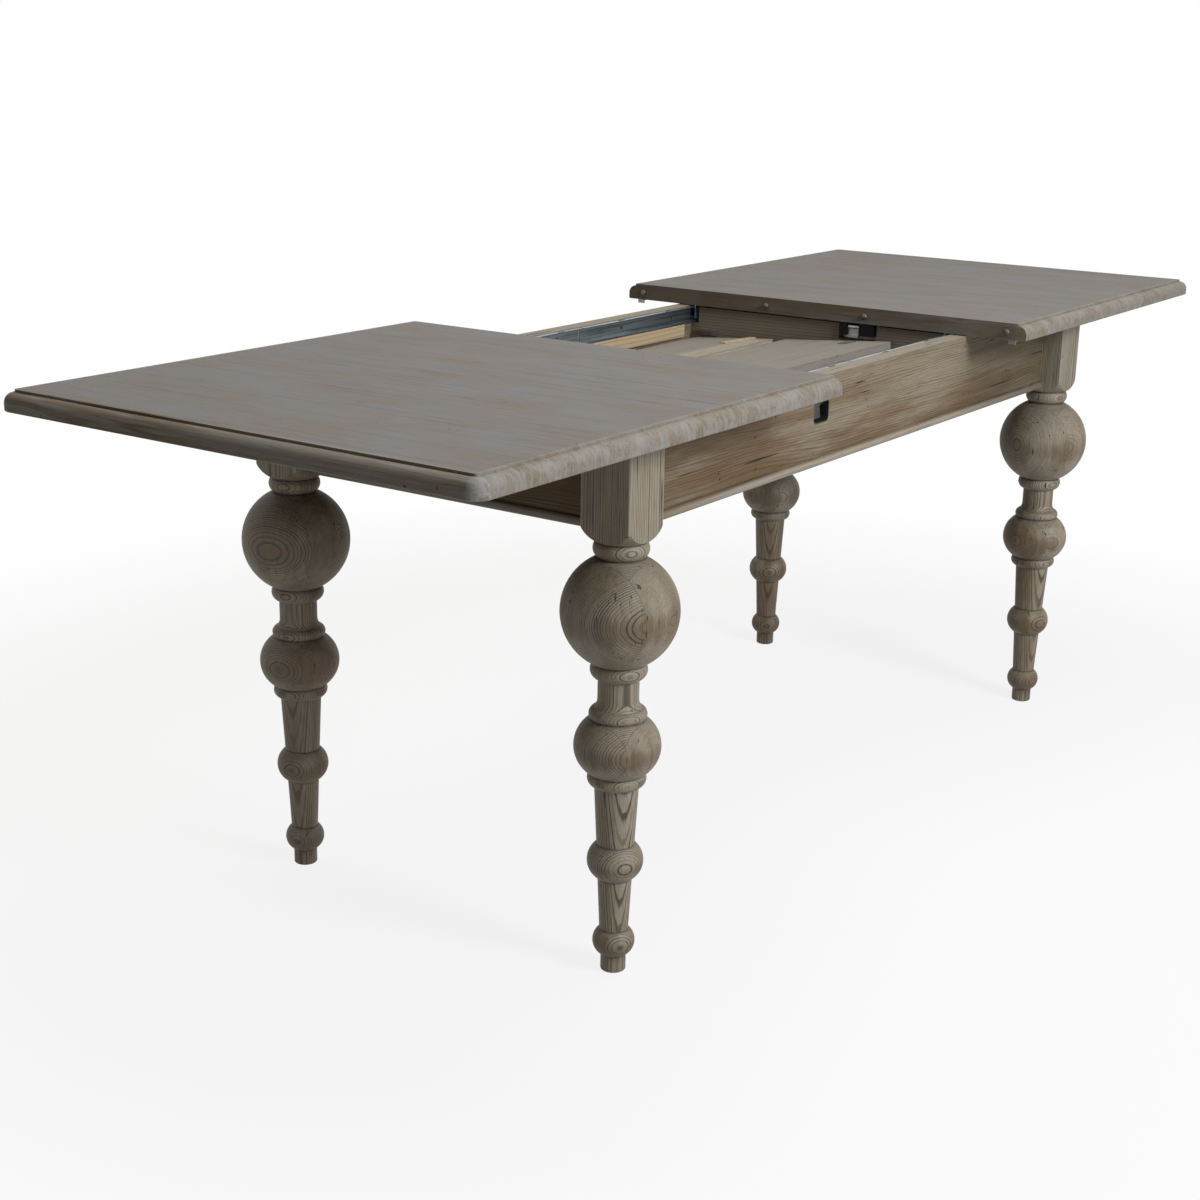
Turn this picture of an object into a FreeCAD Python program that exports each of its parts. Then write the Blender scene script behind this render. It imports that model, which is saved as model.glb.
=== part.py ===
import FreeCAD, Part
import Sketcher
import math
import os
from FreeCAD import Placement, Rotation, Vector

# Extending table: two sliding top halves on a frame with turned legs, and a folded leaf in the well.
# Origin on the floor under the middle of the table, +X along the length, -Y the front, +Z up.
# Every length is in millimetres. A name that ends in share is a share of the size it multiplies.

SIZES = {
    # Table top
    "table_height": 780,
    "top_thickness": 28,
    "top_width": 790,
    "half_length": 800,
    "opening": 630,
    "top_corner_radius": 20,
    "moulding_inset": 14.5,
    "moulding_step": 3.5,
    "moulding_radius": 14,
    "under_edge_radius": 2.5,
    # Frame
    "leg_spacing_length": 1384,
    "leg_spacing_width": 576,
    "frame_gap": 1.5,
    "apron_height": 135.5,
    "apron_thickness": 27,
    "bead_height": 14,
    "bead_projection": 6,
    "block_width": 78,
    "block_arris": 4,
    "block_height": 119.5,
    # Turned leg, heights from the floor on a pattern that is stretched to the leg
    "pattern_height": 631,
    "block_cut_bottom": 609,
    "foot_radius": 17.4,
    "foot_round": 2.5,
    "foot_top": 24,
    "ankle_ball_radius": 28.9,
    "shin_bottom": 62,
    "shin_bottom_radius": 19.8,
    "shin_top": 137,
    "shin_top_radius": 23.4,
    "calf_ball_radius": 38.2,
    "taper_bottom": 187,
    "taper_bottom_radius": 25.7,
    "taper_top": 270.5,
    "taper_top_radius": 30,
    "bun_ring_radius": 38.4,
    "bun_bottom": 289,
    "bun_bottom_radius": 37.2,
    "bun_radius": 58.5,
    "bun_top": 366,
    "bun_top_radius": 37,
    "neck_ring_radius": 38.2,
    "neck_flare": 381,
    "neck_flare_radius": 32,
    "neck_cove": 16,
    "neck_bottom": 392,
    "neck_radius": 27.6,
    "neck_top": 420.5,
    "ball_ring_radius": 37,
    "ball_bottom": 442.5,
    "ball_bottom_radius": 35.2,
    "ball_radius": 78.5,
    "waist_bottom": 585.5,
    "waist_radius": 30.8,
    "waist_ring_radius": 37,
    "shoulder_bottom": 607,
    "shoulder_bottom_radius": 33.5,
    "shoulder_radius": 55.4,
    "shoulder_curve": 40,
    # Corner blocks and leg bolts
    "corner_block_inner": 24,
    "corner_block_outer": 66,
    "corner_block_drop": 38.5,
    "corner_block_height": 72,
    "leg_bolt_radius": 4,
    "leg_bolt_depth": 48,
    "leg_bolt_tail": 16,
    "leg_bolt_spacing": 36,
    "leg_nut_radius": 7.5,
    "leg_nut_height": 7,
    # Slides, two in line on each side
    "slide_depth": 10,
    "slide_height": 27,
    "slide_drop": 1.5,
    "slide_wall": 1.2,
    "slide_end": 651,
    "slide_joint": -31,
    "slide_joint_gap": 4,
    "slide_slot_width": 5,
    "slide_slot_length": 22,
    "slide_slot_first": 88,
    "slide_slot_pitch": 150,
    "slide_slot_inset": 5.5,
    "slide_screw_first": 94,
    "slide_screw_pitch": 159,
    "ball_size_radius": 2.3,
    "ball_play": 0.06,
    "ball_pitch": 24,
    "ball_row_start": 10,
    "ball_depth": 6,
    "member_start": 15,
    "member_end_gap": 6,
    "member_back": 3.2,
    "member_proud": 0.5,
    "cage_start": 22,
    "cage_length": 150,
    "cage_back": 1.9,
    "cage_wall": 0.6,
    "cage_reach": 9,
    "ledge_gap": 2,
    "ledge_height": 22,
    "ledge_end": 285,
    # Cross rails of the frame at the ends of the well, measured from the open halves' inner edges
    "rail_start": 7,
    "rail_thickness": 20,
    "rail_height": 110,
    "rail_top_gap": 3.5,
    "rail_side_gap": 4.5,
    "rail_notch_play": 4,
    "clip_width": 34,
    "clip_height": 11,
    "clip_wall": 1.5,
    "clip_reach": 8,
    "clip_inset": 7,
    "clip_rise": 3,
    # Brackets and fittings under the halves, measured from the inner edge
    "bracket_wall": 2,
    "bracket_height": 24,
    "bracket_reach": 26,
    "bracket_start": 2,
    "bracket_foot_start": 47,
    "bracket_end": 105,
    "bracket_outer_end": 316,
    "pin_radius": 5,
    "pin_embed": 24,
    "pin_stand_out": 6,
    "pin_height": 15,
    "pin_inner_place": 98,
    "pin_outer_edge": 33,
    "socket_radius": 8,
    "socket_depth": 14,
    "socket_play": 0.2,
    "catch_edge": 25,
    "catch_width": 13,
    "catch_length": 22,
    "catch_start": 3,
    "catch_drop": 7,
    "catch_wall": 2,
    # Lock between the halves
    "lock_left": -115,
    "lock_right": -50,
    "lock_height": 22,
    "lock_front": 1,
    "lock_back": 18,
    "lock_slot_left": -87,
    "lock_slot_right": -64,
    "lock_slot_depth": 12,
    "lock_roof": 1.5,
    "tongue_pivot_back": 7,
    "tongue_pivot_drop": 8,
    "tongue_side_play": 1,
    "tongue_reach": 18,
    "tongue_thickness": 3,
    "tongue_eye_radius": 4,
    "tongue_hook": 4,
    "tongue_hook_height": 4.5,
    "tongue_pin_radius": 2,
    "tongue_pin_overhang": 8,
    "pivot_play": 0.05,
    "keeper_start": 3,
    "keeper_length": 14,
    "keeper_lip": 2,
    "keeper_drop": 5,
    "keeper_wall": 1.6,
    # Folded leaf in the well
    "leaf_length": 616,
    "leaf_half_width": 395,
    "leaf_fold_edge": 238,
    "leaf_rise": 33,
    "leaf_drop": 55,
    "leaf_fold_gap": 0.5,
    "leaf_seat_gap": 0.3,
    "leaf_groove_start": 162,
    "leaf_groove_width": 26,
    "leaf_groove_depth": 5,
    "leaf_strip_width": 48,
    "leaf_strip_thickness": 6,
    "leaf_packer_length": 84,
    "leaf_packer_start": 79,
    "leaf_packer_place": 112,
    "leaf_packer_width": 14,
    "leaf_packer_thickness": 2,
    "leaf_plate_length": 37,
    "leaf_plate_width": 16,
    "leaf_plate_thickness": 1.2,
    "leaf_plate_end": 10,
    "leaf_plate_place": 334,
    "bearer_place": 200,
    "bearer_width": 32,
    "bearer_rise": 2,
    "bearer_housing": 6,
    "hinge_place": 200,
    "hinge_length": 60,
    "hinge_plate": 2.6,
    "hinge_height": 22,
    "hinge_notch_play": 0.3,
    "hinge_knuckle_radius": 2.6,
    "hinge_pin_radius": 1.3,
    # Catch in the front apron
    "latch_place": -175,
    "latch_width": 46,
    "latch_height": 33.5,
    "latch_rise": 64,
    "latch_corner": 8,
    "latch_depth": 18,
    "latch_wall": 1.6,
    "lever_thickness": 3,
    "lever_drop": 21,
    "lever_width": 17,
    "lever_grip_width": 26,
    "lever_pivot_down": 7,
    "lever_pivot_in": 10,
    "lever_eye_radius": 3.2,
    "lever_pin_radius": 1.8,
    # Screws
    "screw_head_radius": 4,
    "screw_head_height": 2.4,
    "screw_shank_radius": 1.9,
    "screw_length": 18,
    "screw_tip": 4,
    # Overrun of every cut past the face it opens
    "cut_overrun": 5,
}

doc = FreeCAD.newDocument("ExtendingTable")
sheet = doc.addObject("Spreadsheet::Sheet", "Sizes")
for row, (name, value) in enumerate(SIZES.items(), start=1):
    sheet.set(f"A{row}", name)
    sheet.set(f"B{row}", str(value))
    sheet.setAlias(f"B{row}", name)
doc.recompute()


class Size:
    """A length with its value and the formula on the sheet that gives it."""

    def __init__(self, value, formula):
        self.value = float(value)
        self.formula = formula

    def __add__(self, other):
        other = size(other)
        return Size(self.value + other.value, f"({self.formula} + {other.formula})")

    def __sub__(self, other):
        other = size(other)
        return Size(self.value - other.value, f"({self.formula} - {other.formula})")

    def __mul__(self, other):
        other = size(other)
        return Size(self.value * other.value, f"({self.formula} * {other.formula})")

    def __truediv__(self, other):
        other = size(other)
        return Size(self.value / other.value, f"({self.formula} / {other.formula})")

    def __radd__(self, other):
        return size(other) + self

    def __rsub__(self, other):
        return size(other) - self

    def __rmul__(self, other):
        return size(other) * self

    def __neg__(self):
        return size(0) - self

    def root(self):
        return Size(math.sqrt(self.value), f"sqrt({self.formula})")


def size(number):
    return number if isinstance(number, Size) else Size(number, repr(number))


class Names:
    """The sheet's cells by name."""


s = Names()
for name, value in SIZES.items():
    setattr(s, name, Size(value, f"Sizes.{name}"))

zero = size(0)
nodes = []


def keep(piece, label):
    """Name a finished sub-part and list it for writing."""
    piece.Label = label
    nodes.append(piece)
    return piece


def bind(piece, values):
    for key, value in values.items():
        piece.setExpression(key, size(value).formula)


def place(piece, x, y, z):
    keys = ("Placement.Base.x", "Placement.Base.y", "Placement.Base.z")
    bind(piece, dict(zip(keys, (x, y, z))))


def block(xs, ys, zs):
    """A rectangular block between two places on each axis, in either order."""
    low, long = [], []
    for a, b in (xs, ys, zs):
        a, b = sorted((size(a), size(b)), key=lambda end: end.value)
        low.append(a)
        long.append(b - a)
    piece = doc.addObject("Part::Box", "Block")
    bind(piece, dict(zip(("Length", "Width", "Height"), long)))
    place(piece, *low)
    return piece


TURNS = {
    "x": Rotation(Vector(0, 1, 0), 90),
    "y": Rotation(Vector(1, 0, 0), -90),
    "z": Rotation(),
}


def rod(start, axis, radius, length):
    """A round rod from a start point along +X, +Y or +Z."""
    piece = doc.addObject("Part::Cylinder", "Rod")
    bind(piece, {"Radius": radius, "Height": length})
    piece.Placement = Placement(Vector(), TURNS[axis])
    place(piece, *start)
    return piece


def together(pieces):
    if len(pieces) == 1:
        return pieces[0]
    piece = doc.addObject("Part::Compound", "Together")
    piece.Links = pieces
    return piece


def cut(base, tools):
    piece = doc.addObject("Part::Cut", "Cut")
    piece.Base = base
    piece.Tool = together(tools)
    return piece


def join(pieces):
    piece = doc.addObject("Part::MultiFuse", "Join")
    piece.Shapes = pieces
    return piece


class Arc:
    """A round stretch between two points of an outline: side 1 bulges left of travel, -1 right."""

    def __init__(self, radius, side):
        self.radius = size(radius)
        self.side = side


def crown(a, b, reach):
    """The radius of an arc from a to b whose middle stands at the given reach."""
    half_chord = (b[1] - a[1]) / 2
    rise = reach - (a[0] + b[0]) / 2
    return (half_chord * half_chord + rise * rise) / (2 * rise)


def pin_point(sketch, spot, point):
    """Hold one point of a sketch at two named places from the origin."""
    for kind, axis, value in (("DistanceX", -2, point[0]), ("DistanceY", -1, point[1])):
        value = size(value)
        if abs(value.value) < 1e-9:
            sketch.addConstraint(Sketcher.Constraint("PointOnObject", *spot, axis))
        elif value.value > 0:
            row = sketch.addConstraint(Sketcher.Constraint(kind, -1, 1, *spot, value.value))
            sketch.setExpression(f"Constraints[{row}]", value.formula)
        else:
            row = sketch.addConstraint(Sketcher.Constraint(kind, *spot, -1, 1, -value.value))
            sketch.setExpression(f"Constraints[{row}]", (-value).formula)


def draw(sketch, outline):
    """Draw one closed outline of points and arcs, with every point and radius held by the sheet."""
    points = [item for item in outline if not isinstance(item, Arc)]
    arcs = {}
    count = -1
    for item in outline:
        if isinstance(item, Arc):
            arcs[count] = item
        else:
            count += 1
    spots = []
    for number, start in enumerate(points):
        end = points[(number + 1) % len(points)]
        p = Vector(size(start[0]).value, size(start[1]).value, 0)
        q = Vector(size(end[0]).value, size(end[1]).value, 0)
        if number not in arcs:
            line = sketch.addGeometry(Part.LineSegment(p, q))
            spots.append(((line, 1), (line, 2)))
            continue
        arc = arcs[number]
        chord = q - p
        left = Vector(-chord.y, chord.x, 0).normalize()
        height = math.sqrt(max(arc.radius.value ** 2 - (chord.Length / 2) ** 2, 0))
        centre = (p + q) / 2 - left * (arc.side * height)
        first, last = (q, p) if arc.side > 0 else (p, q)
        turn_first = math.atan2(first.y - centre.y, first.x - centre.x)
        turn_last = math.atan2(last.y - centre.y, last.x - centre.x)
        circle = Part.Circle(centre, Vector(0, 0, 1), arc.radius.value)
        curve = sketch.addGeometry(Part.ArcOfCircle(circle, turn_first, turn_last))
        ends = ((curve, 2), (curve, 1)) if arc.side > 0 else ((curve, 1), (curve, 2))
        spots.append(ends)
        row = sketch.addConstraint(Sketcher.Constraint("Radius", curve, arc.radius.value))
        sketch.setExpression(f"Constraints[{row}]", arc.radius.formula)
    for number, point in enumerate(points):
        before = spots[number - 1][1]
        after = spots[number][0]
        sketch.addConstraint(Sketcher.Constraint("Coincident", *before, *after))
        pin_point(sketch, after, point)


def sketch_on(body, plane, outlines, offset=zero):
    """A sketch on one of the body's own planes, moved along the plane's normal."""
    sketch = body.newObject("Sketcher::SketchObject", "Outline")
    base = next(item for item in body.Origin.OriginFeatures if item.Role == plane)
    sketch.AttachmentSupport = [(base, "")]
    sketch.MapMode = "FlatFace"
    if size(offset).value:
        bind(sketch, {"AttachmentOffset.Base.z": offset})
    for outline in outlines:
        draw(sketch, outline)
    return sketch


def new_body():
    return doc.addObject("PartDesign::Body", "Body")


def pad(body, plane, outlines, length, offset=zero):
    sketch = sketch_on(body, plane, outlines, offset)
    feature = body.newObject("PartDesign::Pad", "Pad")
    feature.Profile = sketch
    bind(feature, {"Length": length})
    return feature


def pocket(body, plane, outlines, depth, offset=zero):
    sketch = sketch_on(body, plane, outlines, offset)
    feature = body.newObject("PartDesign::Pocket", "Pocket")
    feature.Profile = sketch
    bind(feature, {"Length": depth})
    return feature


def rectangle(a, b):
    return [(a[0], a[1]), (b[0], a[1]), (b[0], b[1]), (a[0], b[1])]


def copies(solid, places):
    """Copies of one small solid, each a solid of its own."""
    solids = []
    for spot in places:
        copy = solid.copy()
        copy.Placement = spot
        solids.append(copy)
    piece = doc.addObject("Part::Feature", "Group")
    piece.Shape = Part.makeCompound(solids)
    return piece


def group(label, solid, places):
    """Copies of one small solid in one node."""
    return keep(copies(solid, places), label)


# Heights and places that several pieces share
top_under = s.table_height - s.top_thickness
frame_top = top_under - s.frame_gap
leg_x = s.leg_spacing_length / 2
leg_y = s.leg_spacing_width / 2
block_half = s.block_width / 2
inner_x = leg_x - s.apron_thickness
inner_y = leg_y - s.apron_thickness
edge_x = s.opening / 2
apron_bottom = frame_top - s.apron_height
slide_top = frame_top - s.slide_drop
slide_bottom = slide_top - s.slide_height
slide_middle = slide_top - s.slide_height / 2
leaf_surface = frame_top - s.leaf_drop
stretch_share = (frame_top - s.block_height) / s.pattern_height


def turned(profile):
    """A body turned about the upright axis from a profile of radius and height."""
    body = new_body()
    sketch = sketch_on(body, "XZ_Plane", [profile])
    feature = body.newObject("PartDesign::Revolution", "Turning")
    feature.Profile = sketch
    feature.ReferenceAxis = (sketch, ["V_Axis"])
    feature.Angle = 360
    return body


def rounded(half, arris):
    """A square with rounded corners about the origin."""
    flat = half - arris
    return [
        (flat, -half), Arc(arris, -1), (half, -flat), (half, flat), Arc(arris, -1), (flat, half),
        (-flat, half), Arc(arris, -1), (-half, flat), (-half, -flat), Arc(arris, -1), (-flat, -half),
    ]


# Screws, one solid that every group copies: the head's face at zero, the shank down
screw_shares = (0.25, 0.75)
screw_body = turned([
    (zero, zero),
    (zero, -s.screw_length),
    (s.screw_shank_radius, s.screw_tip - s.screw_length),
    (s.screw_shank_radius, -s.screw_head_height),
    (s.screw_head_radius, zero),
])
doc.recompute()
screw = screw_body.Shape


def screw_at(x, y, z, inward):
    turn = Rotation(Vector(0, 0, -1), Vector(*inward))
    return Placement(Vector(*(size(value).value for value in (x, y, z))), turn)


# Leg bolts on the diagonal of each leg, with a nut behind each corner block
CORNERS = {
    "front_left": (-1, -1),
    "front_right": (1, -1),
    "back_right": (1, 1),
    "back_left": (-1, 1),
}
block_run = (s.corner_block_outer - s.corner_block_inner) / size(2).root()
arris_to_block = (s.corner_block_inner - (block_half - s.apron_thickness) * 2) / size(2).root()
bolt_length = s.leg_bolt_depth + arris_to_block + block_run + s.leg_bolt_tail
bolt_solid = Part.makeCylinder(s.leg_bolt_radius.value, bolt_length.value)
nut_corners = []
for number in range(7):
    turn = math.radians(60 * number)
    nut_corners.append(Vector(math.cos(turn), math.sin(turn), 0) * s.leg_nut_radius.value)
nut_face = Part.Face(Part.makePolygon(nut_corners))
nut_solid = nut_face.extrude(Vector(0, 0, s.leg_nut_height.value))
nut_solid = nut_solid.cut(Part.makeCylinder(s.leg_bolt_radius.value, s.leg_nut_height.value))
corner_block_top = frame_top - s.corner_block_drop
corner_block_bottom = corner_block_top - s.corner_block_height
bolt_middle = corner_block_top - s.corner_block_height / 2
bolt_places = []
nut_places = []
for across, deep in CORNERS.values():
    inward = Vector(-across, -deep, 0).normalize()
    arris = Vector(across * (leg_x - block_half).value, deep * (leg_y - block_half).value, 0)
    turn = Rotation(Vector(0, 0, 1), inward)
    for step in (-1, 1):
        height = Vector(0, 0, (bolt_middle + step * s.leg_bolt_spacing / 2).value)
        bolt_places.append(Placement(arris + height - inward * s.leg_bolt_depth.value, turn))
        seat = (arris_to_block + block_run).value
        nut_places.append(Placement(arris + height + inward * seat, turn))
leg_bolts = group("leg_bolts", bolt_solid, bolt_places)
group("leg_nuts", nut_solid, nut_places)

# Legs, each turned below the shoulder and square above it


def turning(radius, height):
    """A point of the turned profile, scaled from the pattern to the leg's length."""
    return radius * stretch_share, height * stretch_share


def swell(a, b, reach):
    """An outward curve from a to b, whose middle stands at the pattern's reach."""
    return Arc(crown(a, b, reach * stretch_share), -1)


foot_edge = s.foot_radius * stretch_share
ankle_low = turning(s.foot_radius, s.foot_top)
ankle_high = turning(s.shin_bottom_radius, s.shin_bottom)
calf_low = turning(s.shin_top_radius, s.shin_top)
calf_high = turning(s.taper_bottom_radius, s.taper_bottom)
taper_end = turning(s.taper_top_radius, s.taper_top)
bun_low = turning(s.bun_bottom_radius, s.bun_bottom)
bun_high = turning(s.bun_top_radius, s.bun_top)
flare = turning(s.neck_flare_radius, s.neck_flare)
neck_low = turning(s.neck_radius, s.neck_bottom)
neck_high = turning(s.neck_radius, s.neck_top)
ball_low = turning(s.ball_bottom_radius, s.ball_bottom)
ball_high = turning(s.waist_radius, s.waist_bottom)
shoulder_low = turning(s.shoulder_bottom_radius, s.shoulder_bottom)
shoulder_high = (s.shoulder_radius, frame_top - s.block_height)
LEG_PROFILE = [
    (zero, zero),
    (foot_edge - s.foot_round, zero), Arc(s.foot_round, -1), (foot_edge, s.foot_round),
    ankle_low, swell(ankle_low, ankle_high, s.ankle_ball_radius), ankle_high,
    calf_low, swell(calf_low, calf_high, s.calf_ball_radius), calf_high,
    taper_end, swell(taper_end, bun_low, s.bun_ring_radius),
    bun_low, swell(bun_low, bun_high, s.bun_radius),
    bun_high, swell(bun_high, flare, s.neck_ring_radius),
    flare, Arc(s.neck_cove * stretch_share, 1), neck_low,
    neck_high, swell(neck_high, ball_low, s.ball_ring_radius),
    ball_low, swell(ball_low, ball_high, s.ball_radius),
    ball_high, swell(ball_high, shoulder_low, s.waist_ring_radius),
    shoulder_low, Arc(s.shoulder_curve, -1), shoulder_high,
    (s.shoulder_radius, frame_top),
    (zero, frame_top),
]


def make_leg(label, across, deep):
    body = turned(LEG_PROFILE)
    reach = s.shoulder_radius + s.cut_overrun
    ring = [rectangle((-reach, -reach), (reach, reach)), rounded(block_half, s.block_arris)]
    pocket(body, "XY_Plane", ring, frame_top - s.block_cut_bottom * stretch_share, frame_top)
    place(body, across * leg_x, deep * leg_y, zero)
    keep(cut(body, [leg_bolts]), f"leg_{label}")


for label, (across, deep) in CORNERS.items():
    make_leg(label, across, deep)

# Corner blocks, one across each corner of the frame
corner_pieces = []
for across, deep in CORNERS.values():
    body = new_body()
    shape = [(s.corner_block_inner, zero), (s.corner_block_outer, zero),
             (zero, s.corner_block_outer), (zero, s.corner_block_inner)]
    corner = [(across * (inner_x - x), deep * (inner_y - y)) for x, y in shape]
    pad(body, "XY_Plane", [corner], s.corner_block_height, corner_block_bottom)
    corner_pieces.append(body)
keep(cut(together(corner_pieces), [leg_bolts]), "corner_blocks")

# Slide channels and their screws, on the inner faces of the long aprons
SIDES = {"front": -1, "back": 1}
slot_end_share = 0.55
ENDS = {"left": -1, "right": 1}
ball_rise = s.slide_wall + s.ball_play + s.ball_size_radius
member_rise = s.slide_wall + (s.ball_play + s.ball_size_radius) * 2


def across_slide(deep, section):
    """A section of depth from the apron and height from the slide's bottom, as width and height."""
    return [(deep * (inner_y - u), slide_bottom + v) for u, v in section]


def ends_of_channel(end):
    half_gap = s.slide_joint_gap / 2
    if end > 0:
        return s.slide_joint + half_gap, s.slide_end
    return -s.slide_end, s.slide_joint - half_gap


screw_places = []
for deep in SIDES.values():
    for end in ENDS.values():
        for number in range(3):
            x = end * (s.slide_screw_first + s.slide_screw_pitch * number)
            y = deep * (inner_y - s.slide_wall)
            screw_places.append(screw_at(x, y, slide_middle, (0, deep, 0)))
channel_screws = group("channel_screws", screw, screw_places)

CHANNEL = [
    (zero, zero), (s.slide_depth, zero), (s.slide_depth, s.slide_wall), (s.slide_wall, s.slide_wall),
    (s.slide_wall, s.slide_height - s.slide_wall), (s.slide_depth, s.slide_height - s.slide_wall),
    (s.slide_depth, s.slide_height), (zero, s.slide_height),
]
for side, deep in SIDES.items():
    for label, end in ENDS.items():
        start, finish = ends_of_channel(end)
        body = new_body()
        pad(body, "YZ_Plane", [across_slide(deep, CHANNEL)], finish - start, start)
        slots = []
        slot_half = s.slide_slot_width / 2
        for number in range(4):
            middle = end * (s.slide_slot_first + s.slide_slot_pitch * number)
            low = middle - s.slide_slot_length / 2 + slot_half
            high = middle + s.slide_slot_length / 2 - slot_half
            near = deep * (inner_y - s.slide_slot_inset) - slot_half
            far = near + s.slide_slot_width
            slot_end = s.slide_slot_width * slot_end_share
            slots.append([(low, near), (high, near), Arc(slot_end, -1),
                          (high, far), (low, far), Arc(slot_end, -1)])
        pocket(body, "XY_Plane", slots, s.slide_wall * 2, slide_top)
        keep(cut(body, [channel_screws]), f"slide_channel_{side}_{label}")

# Leaf in the well: its slope, its fold axis and the heights of its faces
leaf_run = (s.leaf_half_width * s.leaf_half_width - s.leaf_rise * s.leaf_rise).root()
leaf_slope = s.leaf_rise / leaf_run
leaf_lean = leaf_run / s.leaf_half_width
leaf_angle = math.degrees(math.asin(s.leaf_rise.value / s.leaf_half_width.value))
packet_half = s.top_thickness + s.leaf_fold_gap / 2
fold_height = leaf_surface - packet_half / leaf_lean
leaf_far_edge = s.leaf_fold_edge - leaf_run


def leaf_face(y):
    return leaf_surface + (s.leaf_fold_edge - y) * leaf_slope


def leaf_bottom(y):
    return leaf_face(y) - packet_half * 2 / leaf_lean


# Bearers under the leaf, housed in the long aprons
bearer_end = inner_y + s.bearer_housing
bearers = []
for end in ENDS.values():
    body = new_body()
    outline = [
        (-bearer_end, apron_bottom + s.bearer_rise),
        (bearer_end, apron_bottom + s.bearer_rise),
        (bearer_end, leaf_bottom(bearer_end) - s.leaf_seat_gap),
        (-bearer_end, leaf_bottom(-bearer_end) - s.leaf_seat_gap),
    ]
    start = end * s.bearer_place - s.bearer_width / 2
    pad(body, "YZ_Plane", [outline], s.bearer_width, start)
    bearers.append(body)
leaf_bearers = keep(together(bearers), "leaf_bearers")

# Catch cup in the front apron
latch_low = s.latch_place - s.latch_width / 2
latch_high = s.latch_place + s.latch_width / 2
latch_bottom = apron_bottom + s.latch_rise
latch_top = latch_bottom + s.latch_height


def cup_shape(wall, front, depth):
    """A cup outline with round lower corners, from the apron's face inwards."""
    radius = s.latch_corner - wall
    low, high = latch_low + wall, latch_high - wall
    bottom, top = latch_bottom + wall, latch_top - wall
    body = new_body()
    outline = [
        (low, top), (low, bottom + radius), Arc(radius, -1), (low + radius, bottom),
        (high - radius, bottom), Arc(radius, -1), (high, bottom + radius), (high, top),
    ]
    pad(body, "XZ_Plane", [outline], depth, front - depth)
    return body


cup_cut = cup_shape(zero, leg_y + s.cut_overrun, s.latch_depth + s.cut_overrun)
cup_outer = cup_shape(zero, leg_y, s.latch_depth)
cup_inner = cup_shape(s.latch_wall, leg_y + s.cut_overrun, s.latch_depth + s.cut_overrun - s.latch_wall)
pivot_y = s.lever_pivot_in - leg_y
pivot_z = latch_top - s.lever_pivot_down
pin_start = latch_low + s.latch_wall / 2
pin_length = s.latch_width - s.latch_wall
latch_pin = rod((pin_start, pivot_y, pivot_z), "x", s.lever_pin_radius, pin_length)
keep(latch_pin, "latch_pin")
keep(cut(cut(cup_outer, [cup_inner]), [latch_pin]), "latch_cup")

# Catch lever: an eye on the pin and a blade that leans into the cup and widens to a grip
lever_low = s.latch_place - s.lever_width / 2
eye = rod((lever_low, pivot_y, pivot_z), "x", s.lever_eye_radius, s.lever_width)
blade = new_body()
grip_low = s.latch_place - s.lever_grip_width / 2
blade_top = pivot_z
blade_end = pivot_z - s.lever_drop
blade_front = [
    (lever_low, blade_top), (grip_low, blade_end),
    (grip_low + s.lever_grip_width, blade_end), (lever_low + s.lever_width, blade_top),
]
pad(blade, "XZ_Plane", [blade_front], s.lever_thickness, -pivot_y - s.lever_thickness / 2)
hole_start = lever_low - s.cut_overrun
hole_length = s.lever_width + s.cut_overrun * 2
lever_hole = rod((hole_start, pivot_y, pivot_z), "x", s.lever_pin_radius + s.pivot_play, hole_length)
keep(cut(join([eye, blade]), [lever_hole]), "latch_lever")

# Aprons between the leg blocks
apron_end_x = leg_x - block_half
apron_end_y = leg_y - block_half
for side, deep in SIDES.items():
    plank = block((-apron_end_x, apron_end_x), (deep * inner_y, deep * leg_y), (apron_bottom, frame_top))
    tools = [channel_screws, leaf_bearers]
    if side == "front":
        tools = tools + [cup_cut]
    for tool in tools:
        plank = cut(plank, [tool])
    keep(plank, f"apron_{side}")
for label, end in ENDS.items():
    plank = block((end * inner_x, end * leg_x), (-apron_end_y, apron_end_y), (apron_bottom, frame_top))
    keep(plank, f"apron_{label}")

# Half-round beads along the lower edges of the aprons
bead_low = (zero, zero)
bead_high = (zero, s.bead_height)
bead_radius = crown(bead_low, bead_high, s.bead_projection)
for side, deep in SIDES.items():
    body = new_body()
    section = [(deep * leg_y, apron_bottom), Arc(bead_radius, -deep),
               (deep * leg_y, apron_bottom + s.bead_height)]
    pad(body, "YZ_Plane", [section], apron_end_x * 2, -apron_end_x)
    keep(body, f"bead_{side}")
for label, end in ENDS.items():
    body = new_body()
    section = [(end * leg_x, apron_bottom), Arc(bead_radius, -end),
               (end * leg_x, apron_bottom + s.bead_height)]
    pad(body, "XZ_Plane", [section], apron_end_y * 2, -apron_end_y)
    keep(body, f"bead_{label}")

# Ledges under the slides
ledge_top = slide_bottom - s.ledge_gap
for side, deep in SIDES.items():
    ledge = block((-s.ledge_end, s.ledge_end), (deep * (inner_y - s.slide_depth), deep * inner_y),
                  (ledge_top - s.ledge_height, ledge_top))
    keep(ledge, f"slide_ledge_{side}")


def beside(end, near, far):
    """Two places along a half, measured from its inner edge."""
    return end * (edge_x + near), end * (edge_x + far)


def along(end, near, far):
    """The lower of two places along a half, and the length between them."""
    low = min(beside(end, near, far), key=lambda item: item.value)
    return low, far - near


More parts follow.
